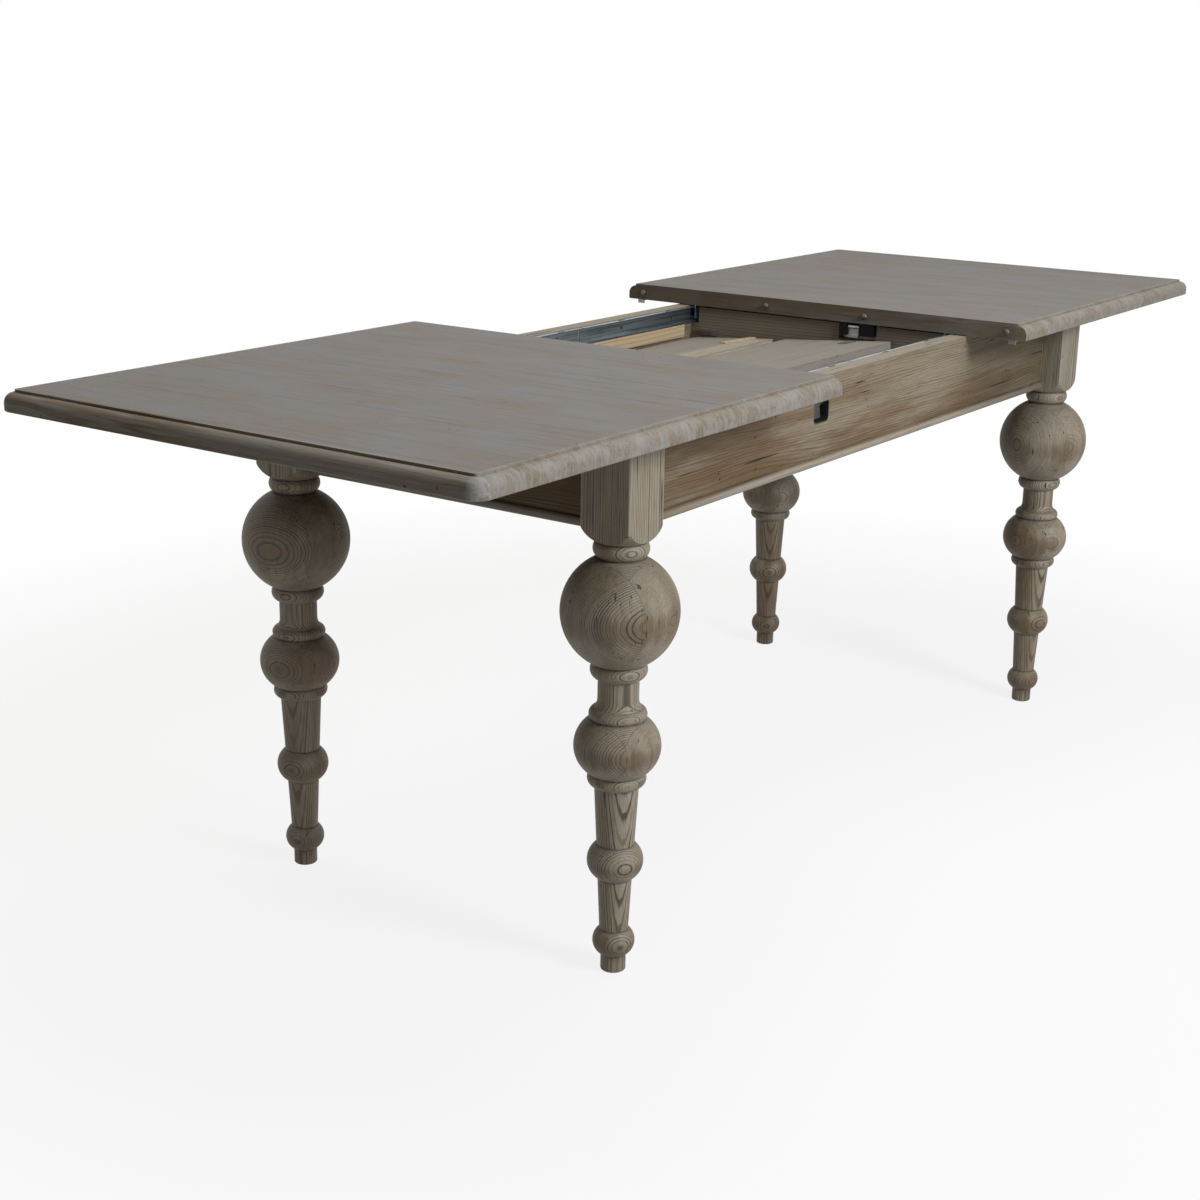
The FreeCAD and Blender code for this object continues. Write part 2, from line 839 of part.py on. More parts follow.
def edges_at(feature, height, inner):
    """The edges of a slab at one height, without the one on its inner face."""
    found = []
    for number, edge in enumerate(feature.Shape.Edges, start=1):
        level = all(abs(vertex.Z - height.value) < 1e-6 for vertex in edge.Vertexes)
        if level and abs(edge.CenterOfMass.x - inner.value) > 1e-6:
            found.append(f"Edge{number}")
    return found


def round_edges(body, feature, height, inner, radius):
    doc.recompute()
    fillet = body.newObject("PartDesign::Fillet", "Moulding")
    fillet.Base = (feature, edges_at(feature, height, inner))
    bind(fillet, {"Radius": radius})
    return fillet


def slab(end, inset):
    """Half of the top in plan, with its two outer corners rounded."""
    inner, outer = beside(end, zero, s.half_length - inset)
    half = s.top_width / 2 - inset
    radius = s.top_corner_radius - inset
    turn = end * (edge_x + s.half_length - inset - radius)
    return [
        (inner, -half), (turn, -half), Arc(radius, -end), (outer, radius - half),
        (outer, half - radius), Arc(radius, -end), (turn, half), (inner, half),
    ]


def make_top(end):
    """A half of the top: a slab with an ovolo on three sides and a raised flat."""
    body = new_body()
    inner = end * edge_x
    flat = s.table_height - s.moulding_step
    base = pad(body, "XY_Plane", [slab(end, zero)], s.top_thickness - s.moulding_step, top_under)
    ovolo = round_edges(body, base, flat, inner, s.moulding_radius)
    round_edges(body, ovolo, top_under, inner, s.under_edge_radius)
    pad(body, "XY_Plane", [slab(end, s.moulding_inset)], s.moulding_step, flat)
    return body


MEMBER_REACH = s.slide_depth + s.member_proud
MEMBER = [
    (s.member_back, member_rise), (MEMBER_REACH, member_rise),
    (MEMBER_REACH, s.slide_height - member_rise), (s.member_back, s.slide_height - member_rise),
    (s.member_back, s.slide_height - member_rise - s.slide_wall),
    (MEMBER_REACH - s.slide_wall, s.slide_height - member_rise - s.slide_wall),
    (MEMBER_REACH - s.slide_wall, member_rise + s.slide_wall),
    (s.member_back, member_rise + s.slide_wall),
]
cage_half = s.cage_wall / 2
ball_levels = (ball_rise, s.slide_height - ball_rise)
CAGE = [
    (s.cage_back, ball_levels[0] - cage_half), (s.cage_reach, ball_levels[0] - cage_half),
    (s.cage_reach, ball_levels[0] + cage_half), (s.cage_back + s.cage_wall, ball_levels[0] + cage_half),
    (s.cage_back + s.cage_wall, ball_levels[1] - cage_half), (s.cage_reach, ball_levels[1] - cage_half),
    (s.cage_reach, ball_levels[1] + cage_half), (s.cage_back, ball_levels[1] + cage_half),
]
ball_solid = Part.makeSphere(s.ball_size_radius.value)
balls_in_row = 6
pin_body = turned([
    (zero, zero),
    (s.pin_radius, zero),
    (s.pin_radius, s.pin_embed + s.pin_stand_out / 2),
    Arc(crown((zero, zero), (zero, s.pin_radius * 2), s.pin_stand_out / 2), -1),
    (zero, s.pin_embed + s.pin_stand_out),
])
doc.recompute()
socket_bore = Part.makeCylinder((s.pin_radius + s.socket_play).value, s.socket_depth.value)
socket_full = Part.makeCylinder(s.socket_radius.value, s.socket_depth.value)
bracket_face = inner_y - s.slide_depth - s.member_proud
bracket_back = bracket_face - s.bracket_wall
bracket_edge = bracket_face - s.bracket_reach
foot_length = s.bracket_end - s.bracket_foot_start
pin_level = s.table_height - s.pin_height
member_end = leg_x - block_half - s.member_end_gap - edge_x
pin_outer_place = s.top_width / 2 - s.pin_outer_edge
PIN_PLACES = [side * spot for spot in (s.pin_inner_place, pin_outer_place) for side in (-1, 1)]


def make_slides(label, end):
    """The sliding members of one half, with the ball cages that run at half their speed."""
    cages = []
    ball_places = []
    for side, deep in SIDES.items():
        low, long = along(end, s.member_start, member_end)
        member = new_body()
        pad(member, "YZ_Plane", [across_slide(deep, MEMBER)], long, low)
        keep(member, f"slide_member_{side}_{label}")
        low, long = along(end, s.cage_start, s.cage_start + s.cage_length)
        cage = new_body()
        pad(cage, "YZ_Plane", [across_slide(deep, CAGE)], long, low)
        holes = []
        y = deep * (inner_y - s.ball_depth)
        for number in range(balls_in_row):
            x = low + s.ball_row_start + s.ball_pitch * number
            start = (x, y, slide_bottom + s.slide_wall)
            holes.append(rod(start, "z", s.ball_size_radius + s.pivot_play,
                             s.slide_height - s.slide_wall * 2))
            for level in ball_levels:
                spot = Vector(x.value, y.value, (slide_bottom + level).value)
                ball_places.append(Placement(spot, Rotation()))
        cages.append(cut(cage, holes))
    keep(together(cages), f"slide_cages_{label}")
    group(f"slide_balls_{label}", ball_solid, ball_places)


def make_bracket(end, deep, start, foot_start, finish):
    """An angle that joins a sliding member to the underside of the top."""
    heights = (top_under - s.bracket_height, top_under)
    wall = block(beside(end, start, finish), (deep * bracket_face, deep * bracket_back), heights)
    foot = block(beside(end, foot_start, finish), (deep * bracket_face, deep * bracket_edge),
                 (top_under - s.bracket_wall, top_under))
    return join([wall, foot])


def make_brackets(label, end):
    """Two angles on each side, and the screws that hold their feet to the top."""
    outer_start = s.bracket_outer_end - foot_length
    brackets = []
    spots = []
    for deep in SIDES.values():
        brackets.append(make_bracket(end, deep, s.bracket_start, s.bracket_foot_start, s.bracket_end))
        brackets.append(make_bracket(end, deep, outer_start, outer_start, s.bracket_outer_end))
        for start in (s.bracket_foot_start, outer_start):
            for share in screw_shares:
                x = end * (edge_x + start + foot_length * share)
                y = deep * (bracket_back + bracket_edge) / 2
                spots.append(screw_at(x, y, top_under - s.bracket_wall, (0, 0, 1)))
    screws = group(f"half_screws_{label}", screw, spots)
    keep(cut(together(brackets), [screws]), f"slide_brackets_{label}")
    return screws


def make_catches(label, end):
    """Small steel hooks under the long edges, beside the joint."""
    catches = []
    for deep in SIDES.values():
        middle = deep * (s.top_width / 2 - s.catch_edge)
        width = (middle - s.catch_width / 2, middle + s.catch_width / 2)
        plate = block(beside(end, s.catch_start, s.catch_start + s.catch_length), width,
                      (top_under - s.catch_wall, top_under))
        lip = block(beside(end, s.catch_start, s.catch_start + s.catch_wall), width,
                    (top_under - s.catch_drop, top_under))
        catches.append(join([plate, lip]))
    keep(together(catches), f"leaf_catches_{label}")


def make_half(label, end):
    make_slides(label, end)
    make_catches(label, end)
    screws = make_brackets(label, end)
    top = cut(make_top(end), [screws])
    turn = Rotation(Vector(0, 0, 1), Vector(-1, 0, 0))
    if end > 0:
        start = (edge_x + s.pin_embed).value
        spots = [Placement(Vector(start, y.value, pin_level.value), turn) for y in PIN_PLACES]
        fitting = group("locating_pins", pin_body.Shape, spots)
    else:
        start = -edge_x.value
        spots = [Placement(Vector(start, y.value, pin_level.value), turn) for y in PIN_PLACES]
        fitting = copies(socket_full, spots)
        group("pin_sockets", socket_full.cut(socket_bore), spots)
    keep(cut(top, [fitting]), f"top_{label}")


for label, end in ENDS.items():
    make_half(label, end)

# Lock: a housing with a hooked tongue on the right half, and a keeper on the left half
slot_width = s.lock_slot_right - s.lock_slot_left
lock_y = (s.lock_left, s.lock_right)
slot_y = (s.lock_slot_left, s.lock_slot_right)
lock_bottom = top_under - s.lock_height
tongue_pivot = top_under - s.tongue_pivot_drop
housing = block(beside(1, s.lock_front, s.lock_back), lock_y, (lock_bottom, top_under))
lock_slot = block(beside(1, s.lock_front - s.cut_overrun, s.lock_front + s.lock_slot_depth), slot_y,
                  (lock_bottom - s.cut_overrun, top_under - s.lock_roof))
pivot_x = edge_x + s.tongue_pivot_back
tongue_pin = rod((pivot_x, s.lock_slot_left - s.tongue_pin_overhang, tongue_pivot), "y",
                 s.tongue_pin_radius, slot_width + s.tongue_pin_overhang * 2)
keep(tongue_pin, "lock_pin")
keep(cut(cut(housing, [lock_slot]), [tongue_pin]), "lock_housing")
tongue_y = (s.lock_slot_left + s.tongue_side_play, s.lock_slot_right - s.tongue_side_play)
tongue_eye = rod((pivot_x, tongue_y[0], tongue_pivot), "y", s.tongue_eye_radius,
                 tongue_y[1] - tongue_y[0])
tongue_end = tongue_pivot - s.tongue_reach
blade_back = pivot_x + s.tongue_thickness / 2
blade_front = pivot_x - s.tongue_thickness / 2
tongue_blade = block((blade_front, blade_back), tongue_y, (tongue_end, tongue_pivot))
tongue_hook = block((blade_front - s.tongue_hook, blade_back), tongue_y,
                    (tongue_end, tongue_end + s.tongue_hook_height))
tongue_hole = rod((pivot_x, s.lock_slot_left, tongue_pivot), "y",
                  s.tongue_pin_radius + s.pivot_play, slot_width)
keep(cut(join([tongue_eye, tongue_blade, tongue_hook]), [tongue_hole]), "lock_tongue")
keeper_plate = block(beside(-1, s.keeper_start, s.keeper_start + s.keeper_length), slot_y,
                     (top_under - s.keeper_wall, top_under))
keeper_lip = block(beside(-1, s.keeper_start, s.keeper_start + s.keeper_lip), slot_y,
                   (top_under - s.keeper_drop, top_under))
keep(join([keeper_plate, keeper_lip]), "lock_keeper")

# Cross rails at the ends of the well, under the slides at their ends, with a notch that clears the lock
rail_top = top_under - s.rail_top_gap
rail_bottom = rail_top - s.rail_height
rail_shoulder = bracket_back - s.rail_side_gap
notch_bottom = lock_bottom - s.rail_notch_play * 2
notch_low = s.lock_left - s.rail_notch_play
notch_high = s.lock_right + s.rail_notch_play
RAIL = [
    (-inner_y, rail_bottom), (inner_y, rail_bottom), (inner_y, ledge_top), (rail_shoulder, ledge_top),
    (rail_shoulder, rail_top), (notch_high, rail_top), (notch_high, notch_bottom), (notch_low, notch_bottom),
    (notch_low, rail_top), (-rail_shoulder, rail_top), (-rail_shoulder, ledge_top), (-inner_y, ledge_top),
]
clip_bottom = leaf_surface + s.clip_rise
clip_y = (rail_shoulder - s.clip_inset - s.clip_width, rail_shoulder - s.clip_inset)
clips = []
for label, end in ENDS.items():
    body = new_body()
    low, long = along(end, s.rail_start, s.rail_start + s.rail_thickness)
    pad(body, "YZ_Plane", [RAIL], long, low)
    keep(body, f"cross_rail_{label}")
    wall = block(beside(end, s.rail_start - s.clip_wall, s.rail_start), clip_y,
                 (clip_bottom, clip_bottom + s.clip_height))
    foot = block(beside(end, s.rail_start - s.clip_reach, s.rail_start), clip_y,
                 (clip_bottom + s.clip_height - s.clip_wall, clip_bottom + s.clip_height))
    clips.append(join([wall, foot]))
keep(together(clips), "rail_clips")

# Folded leaf, drawn flat about its fold axis and then set at its slope
leaf_spot = Vector(0, s.leaf_fold_edge.value, fold_height.value)
leaf_place = Placement(leaf_spot, Rotation(Vector(1, 0, 0), -leaf_angle))
leaf_half_length = s.leaf_length / 2
fold_half = s.leaf_fold_gap / 2
leaf_y = (-s.leaf_half_width - fold_half, -fold_half)
notch_y = (s.cut_overrun, -fold_half - s.hinge_plate - s.hinge_notch_play)
plate_y = (-fold_half - s.hinge_plate, -fold_half)
knuckle = s.hinge_length / 3
packer_turn_degrees = -9


def set_leaf(piece, label):
    """Lay a finished piece of the leaf at its slope in the well."""
    laid = doc.addObject("Part::Compound", "Laid")
    laid.Links = [piece]
    laid.Placement = leaf_place
    return keep(laid, label)


def leaf_board(up):
    """One half of the leaf, above or below the fold axis, with notches for its hinge plates."""
    board = block((-leaf_half_length, leaf_half_length), leaf_y, (up * fold_half, up * packet_half))
    notches = []
    for end in ENDS.values():
        middle = end * s.hinge_place
        half = s.hinge_length / 2 + s.hinge_notch_play
        far = up * (fold_half + s.hinge_height + s.hinge_notch_play)
        notches.append(block((middle - half, middle + half), notch_y, (-up * s.cut_overrun, far)))
    return cut(board, notches)


def hinge_plates(up, own):
    """Hinge plates of one half of the leaf: its own knuckles, and room for the other half's."""
    plates = []
    for end in ENDS.values():
        start = end * s.hinge_place - s.hinge_length / 2
        plate = block((start, start + s.hinge_length), plate_y,
                      (up * fold_half, up * (fold_half + s.hinge_height)))
        knuckles = []
        room = []
        for number in range(3):
            spot = (start + knuckle * number, zero, zero)
            if number in own:
                knuckles.append(rod(spot, "x", s.hinge_knuckle_radius, knuckle))
                continue
            wide = (start + knuckle * number - s.pivot_play, zero, zero)
            room.append(rod(wide, "x", s.hinge_knuckle_radius + s.hinge_notch_play,
                            knuckle + s.pivot_play * 2))
        bore = rod((start, zero, zero), "x", s.hinge_pin_radius + s.pivot_play, s.hinge_length)
        plates.append(cut(join([cut(plate, room)] + knuckles), [bore]))
    return together(plates)


set_leaf(leaf_board(-1), "leaf_lower")
groove = block((-leaf_half_length - s.cut_overrun, leaf_half_length + s.cut_overrun),
               (-s.leaf_groove_start, -s.leaf_groove_start - s.leaf_groove_width),
               (packet_half - s.leaf_groove_depth, packet_half + s.cut_overrun))
strip_y = (-s.leaf_groove_start, s.leaf_strip_width - s.leaf_groove_start)
strip_bed = block((-leaf_half_length - s.cut_overrun, leaf_half_length + s.cut_overrun), strip_y,
                  (packet_half - s.leaf_strip_thickness, packet_half + s.cut_overrun))
set_leaf(cut(cut(leaf_board(1), [groove]), [strip_bed]), "leaf_upper")
strip = block((-leaf_half_length, leaf_half_length), strip_y,
              (packet_half - s.leaf_strip_thickness, packet_half))
set_leaf(strip, "leaf_strip")
set_leaf(hinge_plates(-1, (0, 2)), "leaf_hinge_lower")
set_leaf(hinge_plates(1, (1,)), "leaf_hinge_upper")
pins = [rod((end * s.hinge_place - s.hinge_length / 2, zero, zero), "x", s.hinge_pin_radius, s.hinge_length)
        for end in ENDS.values()]
set_leaf(together(pins), "leaf_hinge_pins")

# A loose pine packer and a small steel plate on the leaf
packer = block((zero, s.leaf_packer_length), (zero, s.leaf_packer_width),
               (zero, s.leaf_packer_thickness))
packer_group = doc.addObject("Part::Compound", "Packer")
packer_group.Links = [packer]
packer_x = leaf_half_length - s.leaf_packer_start
packer_spot = Vector(packer_x.value, -s.leaf_packer_place.value, packet_half.value)
packer_group.Placement = Placement(packer_spot, Rotation(Vector(0, 0, 1), packer_turn_degrees))
set_leaf(packer_group, "leaf_packer")
plate_end = leaf_half_length - s.leaf_plate_end
plate_width = (-s.leaf_plate_place, s.leaf_plate_width - s.leaf_plate_place)
steel_plate = block((plate_end - s.leaf_plate_length, plate_end), plate_width,
                    (packet_half, packet_half + s.leaf_plate_thickness))
set_leaf(steel_plate, "leaf_plate")

# Check and write every sub-part
doc.recompute()
for item in doc.Objects:
    if "Invalid" in item.State or "Error" in item.State:
        raise RuntimeError(f"{item.Name} ({item.Label}) failed: {item.State}")
os.makedirs("parts", exist_ok=True)
for piece in nodes:
    shape = piece.Shape
    if shape.isNull() or not shape.isValid() or not shape.Solids:
        raise RuntimeError(f"{piece.Label} has no valid solid")
    shape.exportStep(f"parts/{piece.Label}.step")
    print(piece.Label, len(shape.Solids), round(shape.Volume))
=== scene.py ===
# %% [markdown]
# Extending table in grey-washed reclaimed pine.
# The frame holds every solid at its real place, in metres: legs, aprons, sliding halves, slides, lock, leaf.
# This lesson dresses those solids: first the camera, then the finishes, then the screws, whose crossed heads
# a finish alone can't give, and last the light and the floor.

# %% Load the frame and keep its box
import math

import bmesh
import bpy
import numpy as np
from mathutils import Matrix, Vector


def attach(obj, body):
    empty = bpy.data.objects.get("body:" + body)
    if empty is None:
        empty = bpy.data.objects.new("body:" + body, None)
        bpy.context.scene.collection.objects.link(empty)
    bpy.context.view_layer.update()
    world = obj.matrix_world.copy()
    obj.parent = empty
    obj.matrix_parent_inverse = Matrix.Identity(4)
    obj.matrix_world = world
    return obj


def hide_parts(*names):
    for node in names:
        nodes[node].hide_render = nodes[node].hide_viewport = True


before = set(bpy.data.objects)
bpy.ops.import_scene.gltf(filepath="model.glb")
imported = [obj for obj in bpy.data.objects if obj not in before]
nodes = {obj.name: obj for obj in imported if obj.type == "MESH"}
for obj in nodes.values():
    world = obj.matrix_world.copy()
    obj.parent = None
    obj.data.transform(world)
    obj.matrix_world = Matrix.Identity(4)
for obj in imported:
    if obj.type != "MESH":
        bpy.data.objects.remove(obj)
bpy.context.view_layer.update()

scene = bpy.context.scene

# %% [markdown]
# The camera stands at the near left corner, a little above the table top.
# A camera could be aimed with a constraint, but a constraint hides the numbers. Here the view direction comes
# from an azimuth and an elevation, and a small roll turns the picture's own axes, so the matrix is plain.

# %% Camera
VIEW_AZIMUTH = math.radians(54.968)
VIEW_ELEVATION = math.radians(16.736)
VIEW_ROLL = math.radians(0.983)
EYE = Vector((-2.6331, -1.6168, 1.2338))
SENSOR = 36.0
LENS = 57.0


def view_axes(azimuth, elevation, roll):
    """Right, up and forward of a camera that looks along an azimuth, downwards by an elevation."""
    forward = Vector((math.sin(azimuth) * math.cos(elevation), math.cos(azimuth) * math.cos(elevation),
                      -math.sin(elevation)))
    right = forward.cross(Vector((0, 0, 1))).normalized()
    up = right.cross(forward)
    turned_right = right * math.cos(roll) + up * math.sin(roll)
    turned_up = up * math.cos(roll) - right * math.sin(roll)
    return turned_right, turned_up, forward


right, up, forward = view_axes(VIEW_AZIMUTH, VIEW_ELEVATION, VIEW_ROLL)
camera_data = bpy.data.cameras.new("camera")
camera_data.sensor_width = SENSOR
camera_data.sensor_height = SENSOR
camera_data.sensor_fit = "HORIZONTAL"
camera_data.lens = LENS
camera = bpy.data.objects.new("camera", camera_data)
camera.matrix_world = Matrix((
    (right.x, up.x, -forward.x, EYE.x),
    (right.y, up.y, -forward.y, EYE.y),
    (right.z, up.z, -forward.z, EYE.z),
    (0, 0, 0, 1),
))
scene.collection.objects.link(camera)
scene.camera = camera
print("camera at", tuple(EYE))

# %% [markdown]
# Shader maths reads better as an expression than as a drawing of nodes.
# A small class wraps one socket and turns + - * / into Math nodes. Every other node comes from one method,
# which sets the node's options first and then its inputs.

# %% Shader helper


class Wire:
    """One output socket of a material, with operators that add Math nodes."""

    def __init__(self, finish, socket):
        self.finish = finish
        self.socket = socket

    def _math(self, operation, *values):
        return self.finish.node("ShaderNodeMath", {"operation": operation}, list(values))

    def __add__(self, other):
        return self._math("ADD", self, other)

    def __radd__(self, other):
        return self._math("ADD", other, self)

    def __sub__(self, other):
        return self._math("SUBTRACT", self, other)

    def __rsub__(self, other):
        return self._math("SUBTRACT", other, self)

    def __mul__(self, other):
        return self._math("MULTIPLY", self, other)

    def __rmul__(self, other):
        return self._math("MULTIPLY", other, self)

    def __truediv__(self, other):
        return self._math("DIVIDE", self, other)

    def root(self):
        return self._math("SQRT", self)

    def fraction(self):
        return self._math("FRACT", self)

    def floor(self):
        return self._math("FLOOR", self)

    def absolute(self):
        return self._math("ABSOLUTE", self)

    def most(self, other):
        return self._math("MAXIMUM", self, other)

    def least(self, other):
        return self._math("MINIMUM", self, other)

    def step(self, low, high):
        """A smooth step from 0 at low to 1 at high."""
        settings = {"interpolation_type": "SMOOTHSTEP"}
        return self.finish.node("ShaderNodeMapRange", settings, [self, low, high, 0.0, 1.0])


class Finish:
    """One material and the nodes that make it."""

    def __init__(self, name):
        self.material = bpy.data.materials.new(name)
        self.material.use_nodes = True
        self.tree = self.material.node_tree
        self.tree.nodes.clear()
        self.output = self.tree.nodes.new("ShaderNodeOutputMaterial")
        self.shader = self.tree.nodes.new("ShaderNodeBsdfPrincipled")
        self.tree.links.new(self.shader.outputs["BSDF"], self.output.inputs["Surface"])
        self.place = self.node("ShaderNodeTexCoord", {}, [], "Object")

    def node(self, kind, settings, inputs, out=0):
        """Add a node, set its options, then its inputs by order or by name, and give one output."""
        made = self.tree.nodes.new(kind)
        for key, value in settings.items():
            setattr(made, key, value)
        pairs = inputs.items() if isinstance(inputs, dict) else enumerate(inputs)
        for key, value in pairs:
            if isinstance(value, Wire):
                self.tree.links.new(value.socket, made.inputs[key])
            elif value is not None:
                made.inputs[key].default_value = value
        return Wire(self, made.outputs[out])

    def noise(self, at, scale, detail=2.0, roughness=0.5):
        inputs = {"Vector": at, "Scale": scale, "Detail": detail, "Roughness": roughness}
        return self.node("ShaderNodeTexNoise", {}, inputs, "Fac")

    def cells(self, at, scale, out="Distance"):
        return self.node("ShaderNodeTexVoronoi", {}, {"Vector": at, "Scale": scale}, out)

    def axes(self, at):
        parts = self.tree.nodes.new("ShaderNodeSeparateXYZ")
        self.tree.links.new(at.socket, parts.inputs[0])
        return [Wire(self, parts.outputs[number]) for number in range(3)]

    def point(self, x, y, z):
        return self.node("ShaderNodeCombineXYZ", {}, [x, y, z])

    def mix(self, share, a, b, blend="MIX"):
        """Blend two colours, each a tuple or a wire."""
        made = self.tree.nodes.new("ShaderNodeMix")
        made.data_type = "RGBA"
        made.blend_type = blend
        for key, value in ((0, share), (6, a), (7, b)):
            if isinstance(value, Wire):
                self.tree.links.new(value.socket, made.inputs[key])
            else:
                made.inputs[key].default_value = value if key == 0 else (*value, 1.0)
        return Wire(self, made.outputs[2])

    def bump(self, height, depth, strength):
        inputs = {"Strength": strength, "Distance": depth, "Height": height}
        return self.node("ShaderNodeBump", {}, inputs)

    def finish(self, colour, roughness, normal=None, **fixed):
        """Feed the shader: wires are linked, numbers are set on the socket itself."""
        values = {"Base Color": colour, "Roughness": roughness, "Normal": normal, **fixed}
        for key, value in values.items():
            if isinstance(value, Wire):
                self.tree.links.new(value.socket, self.shader.inputs[key])
            elif value is not None:
                self.shader.inputs[key].default_value = value
        return self.material


def linear(red, green, blue):
    """A colour given in the 0 to 255 steps of a paint chart, as light."""
    steps = [value / 255 for value in (red, green, blue)]
    return tuple(v / 12.92 if v <= 0.04045 else ((v + 0.055) / 1.055) ** 2.4 for v in steps)


print("helper ready")

# %% [markdown]
# Old pine shows its growth rings on every face, because the rings are solid: cylinders round the log's pith.
# A picture wrapped on each face would break at the edges. So the finish asks how far a point is from the
# pith, and the same rings then show as stripes on a block, ovals on a ball and arches on a flat board.
# A grey wash lies on top, thicker in some patches than in others, with open pores, slits and worm holes.

# %% Timber pattern


class Timber:
    """The pattern inside one piece of timber, read at any point of it."""

    def __init__(self, finish, grain, pith, ring, wander, shift=0.0, knee=None):
        """grain is the axis along the trunk, and pith the place of its middle on the other two axes.

        ring is the width of one year. With a knee, years grow narrower away from the pith, and have
        that width at the knee's distance."""
        self.finish = finish
        axes = finish.axes(finish.place)
        across = [axes[number] for number in range(3) if number != grain]
        along = axes[grain] + shift
        self.slow = finish.point(across[0], across[1], along * 0.12)
        self.fine = finish.point(across[0], across[1], along * 0.03)
        sway = finish.noise(self.slow, 9.0, 2.0) - 0.5
        side = [axis - middle for axis, middle in zip(across, pith)]
        away = (side[0] * side[0] + side[1] * side[1]).root() + sway * wander
        years = away / ring
        if knee is not None:
            years = away * away / (2.0 * knee * ring)
        uneven = finish.noise(finish.point(years * 0.31, along * 0.3, 0.0), 1.0, 2.0) - 0.5
        counted = years + uneven * 1.6
        season = counted.fraction()
        line = season.step(0.5, 0.78) * (1.0 - season.step(0.92, 1.0))
        strength = finish.noise(finish.point(counted.floor() * 7.3, along * 1.1, 0.0), 1.0, 1.0)
        self.late = line * (0.5 + 0.5 * strength.step(0.36, 0.6))
        self.fibre = finish.noise(self.fine, 800.0, 3.0, 0.65)
        self.streak = finish.noise(self.fine, 130.0, 3.0, 0.6)
        self.patch = finish.noise(self.slow, 14.0, 4.0, 0.6)

    def holes(self, scale, radius, share):
        """Worm holes: dark spots in a share of the cells."""
        spots = self.finish.cells(self.finish.place, scale)
        chance = self.finish.axes(self.finish.cells(self.finish.place, scale, "Color"))[0]
        wobble = self.finish.noise(self.finish.place, scale * 14.0, 2.0) - 0.5
        edge = spots + wobble * radius * scale
        inside = 1.0 - edge.step(radius * scale * 0.7, radius * scale * 1.15)
        return inside * (1.0 - chance.step(share - 0.01, share + 0.01))

    def cracks(self, share):
        """Short dark slits along the grain."""
        slits = self.finish.noise(self.fine, 210.0, 2.0, 0.4)
        return slits.step(0.74 - share * 0.1, 0.78 - share * 0.1)


PALE_WASH, GREY_WASH = linear(186, 181, 168), linear(119, 123, 130)
EDGE_WASH, LEAF_WASH = linear(142, 141, 137), linear(143, 141, 138)
EARLY, EARLY_BROWN = linear(109, 92, 63), linear(92, 71, 42)
LATE, LATE_BROWN = linear(30, 22, 13), linear(27, 18, 10)
# The last dark colour serves dark joints, dark flecks and painted shade alike.
PORE, HOLE, DIRT_AND_SHADE = linear(58, 48, 36), linear(16, 12, 9), linear(40, 33, 24)
RAW_PINE = linear(138, 131, 118)
WORM_CELLS, WORM_RADIUS, GRAIN_DEPTH = 34.0, 0.0017, 0.0006


def aged_wood(finish, wood, wash, brown, lines, holes=0.35, cracks=0.0, dirt_and_shade=None, wear=None, band=0.0,
              pale=PALE_WASH, bare_zone=None, wax=0.0):
    """Grey-washed old pine: rings, brown patches, a pale wash, open pores, slits and worm holes.

    Darkening stands for dark joints, dark flecks and painted shade; wear brings more wash, band brings more
    brown, the bare zone never had any wash, and wax gives a soft shine."""
    tan = (wood.patch + band * 0.22).step(0.66 - brown * 0.3, 0.86 - brown * 0.3)
    early = finish.mix(tan, EARLY, EARLY_BROWN)
    late = finish.mix(tan, LATE, LATE_BROWN)
    bare = finish.mix(wood.late * (0.7 + 0.3 * wood.streak.step(0.3, 0.65)) * lines, early, late)
    cover = (1.0 - wood.patch.step(0.35, 0.72)) * 0.55 + wood.fibre.step(0.4, 0.75) * 0.45
    rubbed = cover * (1.0 - wood.late * lines * 0.9) * wash * (1.0 - tan * 0.5)
    if wear is not None:
        rubbed = rubbed.most(wear * 0.8)
    washed = finish.mix(rubbed, bare, pale)
    streaked = finish.mix(wood.streak.step(0.5, 0.8) * 0.3, washed, LATE)
    open_grain = finish.mix((1.0 - wood.fibre.step(0.28, 0.44)) * 0.5, streaked, PORE)
    # Darker for dark joints and flecks, and painted shade in the leg creases and at the far ends of the aprons.
    if dirt_and_shade is not None:
        open_grain = finish.mix(dirt_and_shade, open_grain, DIRT_AND_SHADE)
    if bare_zone is not None:
        raw = finish.mix(wood.late * 0.35, RAW_PINE, EARLY_BROWN)
        open_grain = finish.mix(bare_zone, open_grain, raw)
    pits = wood.holes(WORM_CELLS, WORM_RADIUS, holes).most(wood.cracks(cracks))
    colour = finish.mix(pits, open_grain, HOLE)
    height = wood.fibre * 0.5 - wood.late * 0.3 - pits * 4.0
    normal = finish.bump(height, GRAIN_DEPTH, 0.6)
    rough = 0.6 - wax * 0.12 + wood.fibre * 0.25
    return finish.finish(colour, rough, normal, **{"Specular IOR Level": 0.25 + wax * 0.3})


def plank_wood(name, grain, pith, ring, wander, **looks):
    finish = Finish(name)
    return aged_wood(finish, Timber(finish, grain, pith, ring, wander), **looks)


def paint(material, *names):
    """Give a finish to CAD nodes."""
    for name in names:
        slots = nodes[name].data.materials
        slots.clear()
        slots.append(material)


ALONG_X, ALONG_Y, ALONG_Z = 0, 1, 2
print("timber ready")
